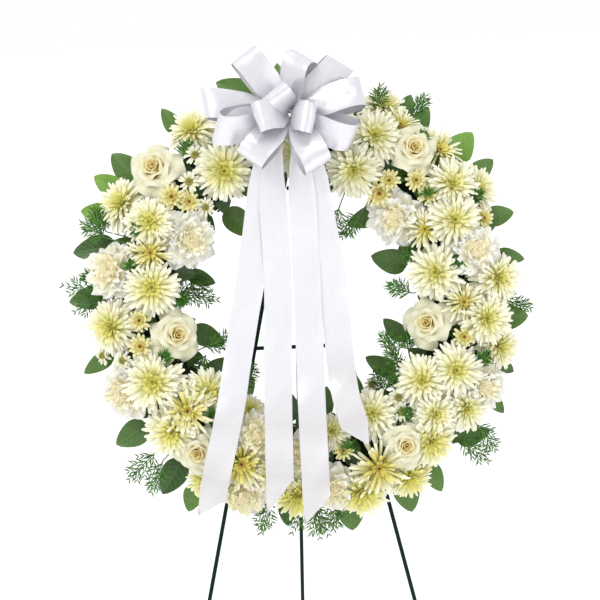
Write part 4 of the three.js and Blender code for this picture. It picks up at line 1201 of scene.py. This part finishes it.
# A loop leaves the knot, turns round at its full length and comes back, pleated where it is gathered
def loopGrid(heading, rise, length, depth, roll, number):
    up = math.radians(rise)
    flat = onRing(1, math.radians(heading), 0)
    outward = flat * math.cos(up) + towardsViewer * math.sin(up)
    across = Quaternion(outward, math.radians(roll)) @ towardsViewer.cross(flat).normalized()
    out, across = np.array(outward), np.array(across)
    opening = np.cross(across, out)
    start = math.acos(1 - 1.4 * ribbon["knot"] / (length / 1000))
    turns = np.linspace(start, 2 * math.pi - start, 41)[:, None]
    v = np.linspace(-1, 1, 9)[None]
    reach = (1 - np.cos(turns)) / 2
    half = ribbon["width"] / 2 * np.minimum(1, 0.25 + 1.5 * reach)
    upper = np.sign(np.sin(turns))
    swell = depth / 1000 * upper * reach**0.8 * np.sqrt(np.clip(1 - reach**5, 0, 1))
    pleat = 0.0026 * np.cos(v * 5 + number) * np.exp(-4 * reach) * upper
    crease = 0.0012 * np.sin(v * 2.6 + number) * np.sin(turns * 2 + number)
    along = (length / 1000) * reach * (1 + 0.06 * math.sin(number * 2.1) * v)
    spread = opening * (swell + pleat + crease)[..., None] + across * (v * half)[..., None]
    return np.array(knot) + out * along[..., None] + spread


def addBow():
    loops = Builder()
    area = 0.0
    for number, loop in enumerate(bowLoops):
        grid = toRow(loopGrid(*loop, number))
        loops.addShell(grid, ribbon["thickness"])
        area += sheetArea(grid)
    piece = finishPiece(loops.make("bow_loops", bowSatin), "bow")
    return area


# The pick that holds the bow, and the turns of ribbon round the knot
pickShape = {
    "reach": (0.06, 0.09), "radius": 0.0015, "turns": 3, "bulge": 0.0105, "step": 0.003, "wrap": 0.002,
}


def addPick():
    pick = Builder()
    places = (pickCore + pickFacing * away for away in (setting["stemEnd"], *pickShape["reach"]))
    pick.addRod(carried(*places), pickShape["radius"])
    for ring in range(pickShape["turns"]):
        path = []
        for turn in np.linspace(0, 2 * math.pi, 28):
            bulge = pickShape["bulge"] + 0.0008 * math.sin(3 * turn + ring)
            path.append(knot + onRing(bulge, turn, pickShape["step"] * (ring - 1)))
        pick.addRod(carried(*path), pickShape["wrap"], 6)
    finishPiece(pick.make("bow_pick", bowSatin), "bow")


bowArea = addBow()
addPick()

# A streamer's middle line and its two lower corners, in millimetres in the wreath's frame
streamers = [
    {"run": [(-45, -107.6, 188), (-50, -105.4, 151), (-67, -94, 23), (-84, -94, -80), (-91, -102.6, -124),
             (-112, -103.6, -222)], "cut": [(-132, -102.4, -256), (-97, -102.4, -237)]},
    {"run": [(-35, -109.8, 188), (-40, -107.2, 151), (-34, -96, 23), (-35, -97, -80), (-35, -103.4, -124),
             (-34, -104, -216)], "cut": [(-50, -103, -256), (-17, -103, -212)]},
    {"run": [(-9, -111.4, 188), (-6, -107.8, 151), (1, -96, 23), (4, -97, -80), (5, -103.4, -124),
             (9, -104, -222)], "cut": [(-5, -103, -269), (26, -103, -234)]},
    {"run": [(2, -107.6, 188), (9, -105.4, 151), (31, -94, 23), (41, -94, -80), (46, -101.8, -116),
             (56, -102.6, -150)], "cut": [(45, -102.6, -158), (73, -102.6, -174)]},
]
streamerShape = {
    "rows": 61, "columns": 11, "gap": 0.0003, "narrow": ([0, 0.1, 0.2, 1], [0.12, 0.66, 0.92, 0.92]),
    "tail": (0.35, 0.7, 1.0), "tailLength": 0.04, "fan": (-136, 30),
}


def blend(first, second, start, end, at):
    return (end - at) / (end - start) * first + (at - start) / (end - start) * second


# Evenly spaced points on a centripetal spline, the curve that the solids follow
def smoothPath(points, count):
    ends = [2 * points[0] - points[1], *points, 2 * points[-1] - points[-2]]
    fine = []
    for k in range(1, len(ends) - 2):
        p = ends[k - 1 : k + 3]
        t = [0.0]
        for i in range(3):
            t.append(t[-1] + max(np.linalg.norm(p[i + 1] - p[i]) ** 0.5, 1e-6))
        for at in np.linspace(t[1], t[2], 24, endpoint=False):
            a = [blend(p[i], p[i + 1], t[i], t[i + 1], at) for i in range(3)]
            b = [blend(a[i], a[i + 1], t[i], t[i + 2], at) for i in range(2)]
            fine.append(blend(*b, t[1], t[2], at))
    fine = np.array([*fine, points[-1]])
    lengths = np.concatenate([[0], np.cumsum(np.linalg.norm(np.diff(fine, axis=0), axis=1))])
    wanted = np.linspace(0, lengths[-1], count)
    return np.stack([np.interp(wanted, lengths, fine[:, i]) for i in range(3)], axis=1), lengths[-1]


def addStreamer(number, run, cut):
    first, step = streamerShape["fan"]
    fan = math.radians(first + step * number)
    back = onRing(1, fan, 0.5 if number % 3 else 0.9).normalized()
    start = np.array(knot + back * (ribbon["knot"] + streamerShape["gap"]))
    line, length = smoothPath([start, *(np.array(p) / 1000 for p in run)], streamerShape["rows"])
    front = np.array(towardsViewer)
    way = np.gradient(line, axis=0)
    way /= np.linalg.norm(way, axis=1, keepdims=True)
    across = np.cross(front, way)
    across /= np.linalg.norm(across, axis=1, keepdims=True)
    half = ribbon["width"] / 2 * np.interp(np.linspace(0, 1, len(line)), *streamerShape["narrow"])
    v = np.linspace(-1, 1, streamerShape["columns"])[None]
    grid = line[:, None] + across[:, None] * (half[:, None] * v)[..., None]
    left, right = (np.array(p) / 1000 for p in cut)
    end = left + (right - left) * ((v[0] + 1) / 2)[:, None]
    grid = np.concatenate([grid, np.stack([grid[-1] + (end - grid[-1]) * s for s in streamerShape["tail"]])])
    share = np.linspace(0, 1, len(grid))[:, None]
    fold = 0.004 * np.exp(-14 * share) * np.cos(v * 6 + number)
    wave = 0.0013 * np.sin(share * 19 + 2 * number) * (0.5 + 0.5 * v * math.cos(number * 2))
    wave = wave + 0.0006 * np.sin(share * 43 + number + 2 * v) * share
    cupped = 0.0012 * (1 - v**2) * np.sin(math.pi * share)
    grid = toRow(grid + front * (fold + wave + cupped)[..., None])
    builder = Builder()
    builder.addShell(grid, ribbon["thickness"])
    name = f"streamer_{number + 1}"
    piece = finishPiece(builder.make(name + "_ribbon", streamerSatin), name)


for number, streamer in enumerate(streamers):
    addStreamer(number, **streamer)
print(f"bow: {ribbon['width']:.3f} x {bowArea / ribbon['width']:.3f} m")

# The easel, in round wire. Two legs and the bend that joins them are one length.
easel = {"wire": 0.0025, "bend": 0.009, "sides": 14, "bendSteps": 12}


def inEasel(x, z):
    return easelPlace @ Vector((x, setting["legDepth"], z))


def addFrontFrame():
    slope, lean = math.atan(setting["legSlope"]), math.radians(setting["lean"])
    bendZ = setting["legCrossing"] - easel["bend"] / math.sin(slope)
    floorZ = -(easelPlace.translation.z + setting["legDepth"] * math.sin(lean)) / math.cos(lean)
    floorZ += easel["wire"] * 0.55
    floorX = (setting["legCrossing"] - floorZ) * setting["legSlope"]
    path = [inEasel(-floorX, floorZ)]
    for i in range(easel["bendSteps"] + 1):
        turn = math.pi - slope + (2 * slope - math.pi) * i / easel["bendSteps"]
        path.append(inEasel(math.cos(turn) * easel["bend"], bendZ + math.sin(turn) * easel["bend"]))
    path.append(inEasel(floorX, floorZ))
    builder = Builder()
    builder.addRod(path, easel["wire"], easel["sides"])
    finishPiece(builder.make("front_wire", enamelLook), "easel_front_frame")


addFrontFrame()
solidLooks = {
    "easel_back_leg": enamelLook, "easel_hinge_pin": enamelLook, "easel_cross_bar": enamelLook,
    "easel_lower_rest": enamelLook, "staple_top": wireLook, "staple_left": wireLook,
    "staple_right": wireLook, "foam_ring": foamLook, "base_tray": trayLook,
}
for node, look in solidLooks.items():
    materials = frame["nodes"][node].data.materials
    materials.clear()
    materials.append(look)
print("easel finished")

# Floor and light. A lamp is its place, its size in metres and its power in watts.
studio = {"floor": 80, "glow": 0.3, "behind": 1.0, "before": 0.8, "aim": (0, 0, 0.72)}
lamps = {
    "keyLight": ((-1.4, -2.0, 2.5), 1.1, 27),
    "fillLight": ((1.9, -2.0, 1.0), 1.6, 8),
    "topLight": ((0.2, -0.7, 2.7), 0.8, 5),
}


def addFloor():
    half = studio["floor"] / 2
    corners = [(-half, -half, 0), (half, -half, 0), (half, half, 0), (-half, half, 0)]
    mesh = bpy.data.meshes.new("floor")
    mesh.from_pydata(corners, [], [(0, 1, 2, 3)])
    floor = bpy.data.objects.new("floor", mesh)
    bpy.context.scene.collection.objects.link(floor)
    material, tree, shader = newMaterial("paleFloor")
    setSockets(tree, shader, {
        "Base Color": (0.95, 0.95, 0.95, 1),
        "Roughness": 0.9,
        "Emission Color": (1, 1, 1, 1),
        "Emission Strength": studio["glow"],
    })
    mesh.materials.append(material)


# The world is a little brighter behind the wreath than before it
def addLight():
    world = bpy.data.worlds.new("studioWorld")
    world.use_nodes = True
    tree = world.node_tree
    generated = addNode(tree, "ShaderNodeTexCoord").outputs["Generated"]
    level = addNode(tree, "ShaderNodeMapRange", {
        "Value": addNode(tree, "ShaderNodeSeparateXYZ", {0: generated}).outputs["Y"],
        "From Min": -0.3,
        "From Max": 0.3,
        "To Min": studio["before"],
        "To Max": studio["behind"],
    })
    setSockets(tree, tree.nodes["Background"], {0: (1, 1, 1, 1), 1: level.outputs[0]})
    bpy.context.scene.world = world
    for name, (place, size, power) in lamps.items():
        data = bpy.data.lights.new(name, "AREA")
        data.size = size
        data.energy = power
        lamp = bpy.data.objects.new(name, data)
        lamp.location = place
        lamp.rotation_euler = (Vector(place) - Vector(studio["aim"])).to_track_quat("Z", "Y").to_euler()
        bpy.context.scene.collection.objects.link(lamp)
    view = bpy.context.scene.view_settings
    view.view_transform = "Standard"
    view.look = "None"


addFloor()
addLight()
for group in [*petalKinds.values(), *eyeKinds.values(), needleKinds]:
    for kept in list(group.objects):
        bpy.data.objects.remove(kept)
    bpy.data.collections.remove(group)
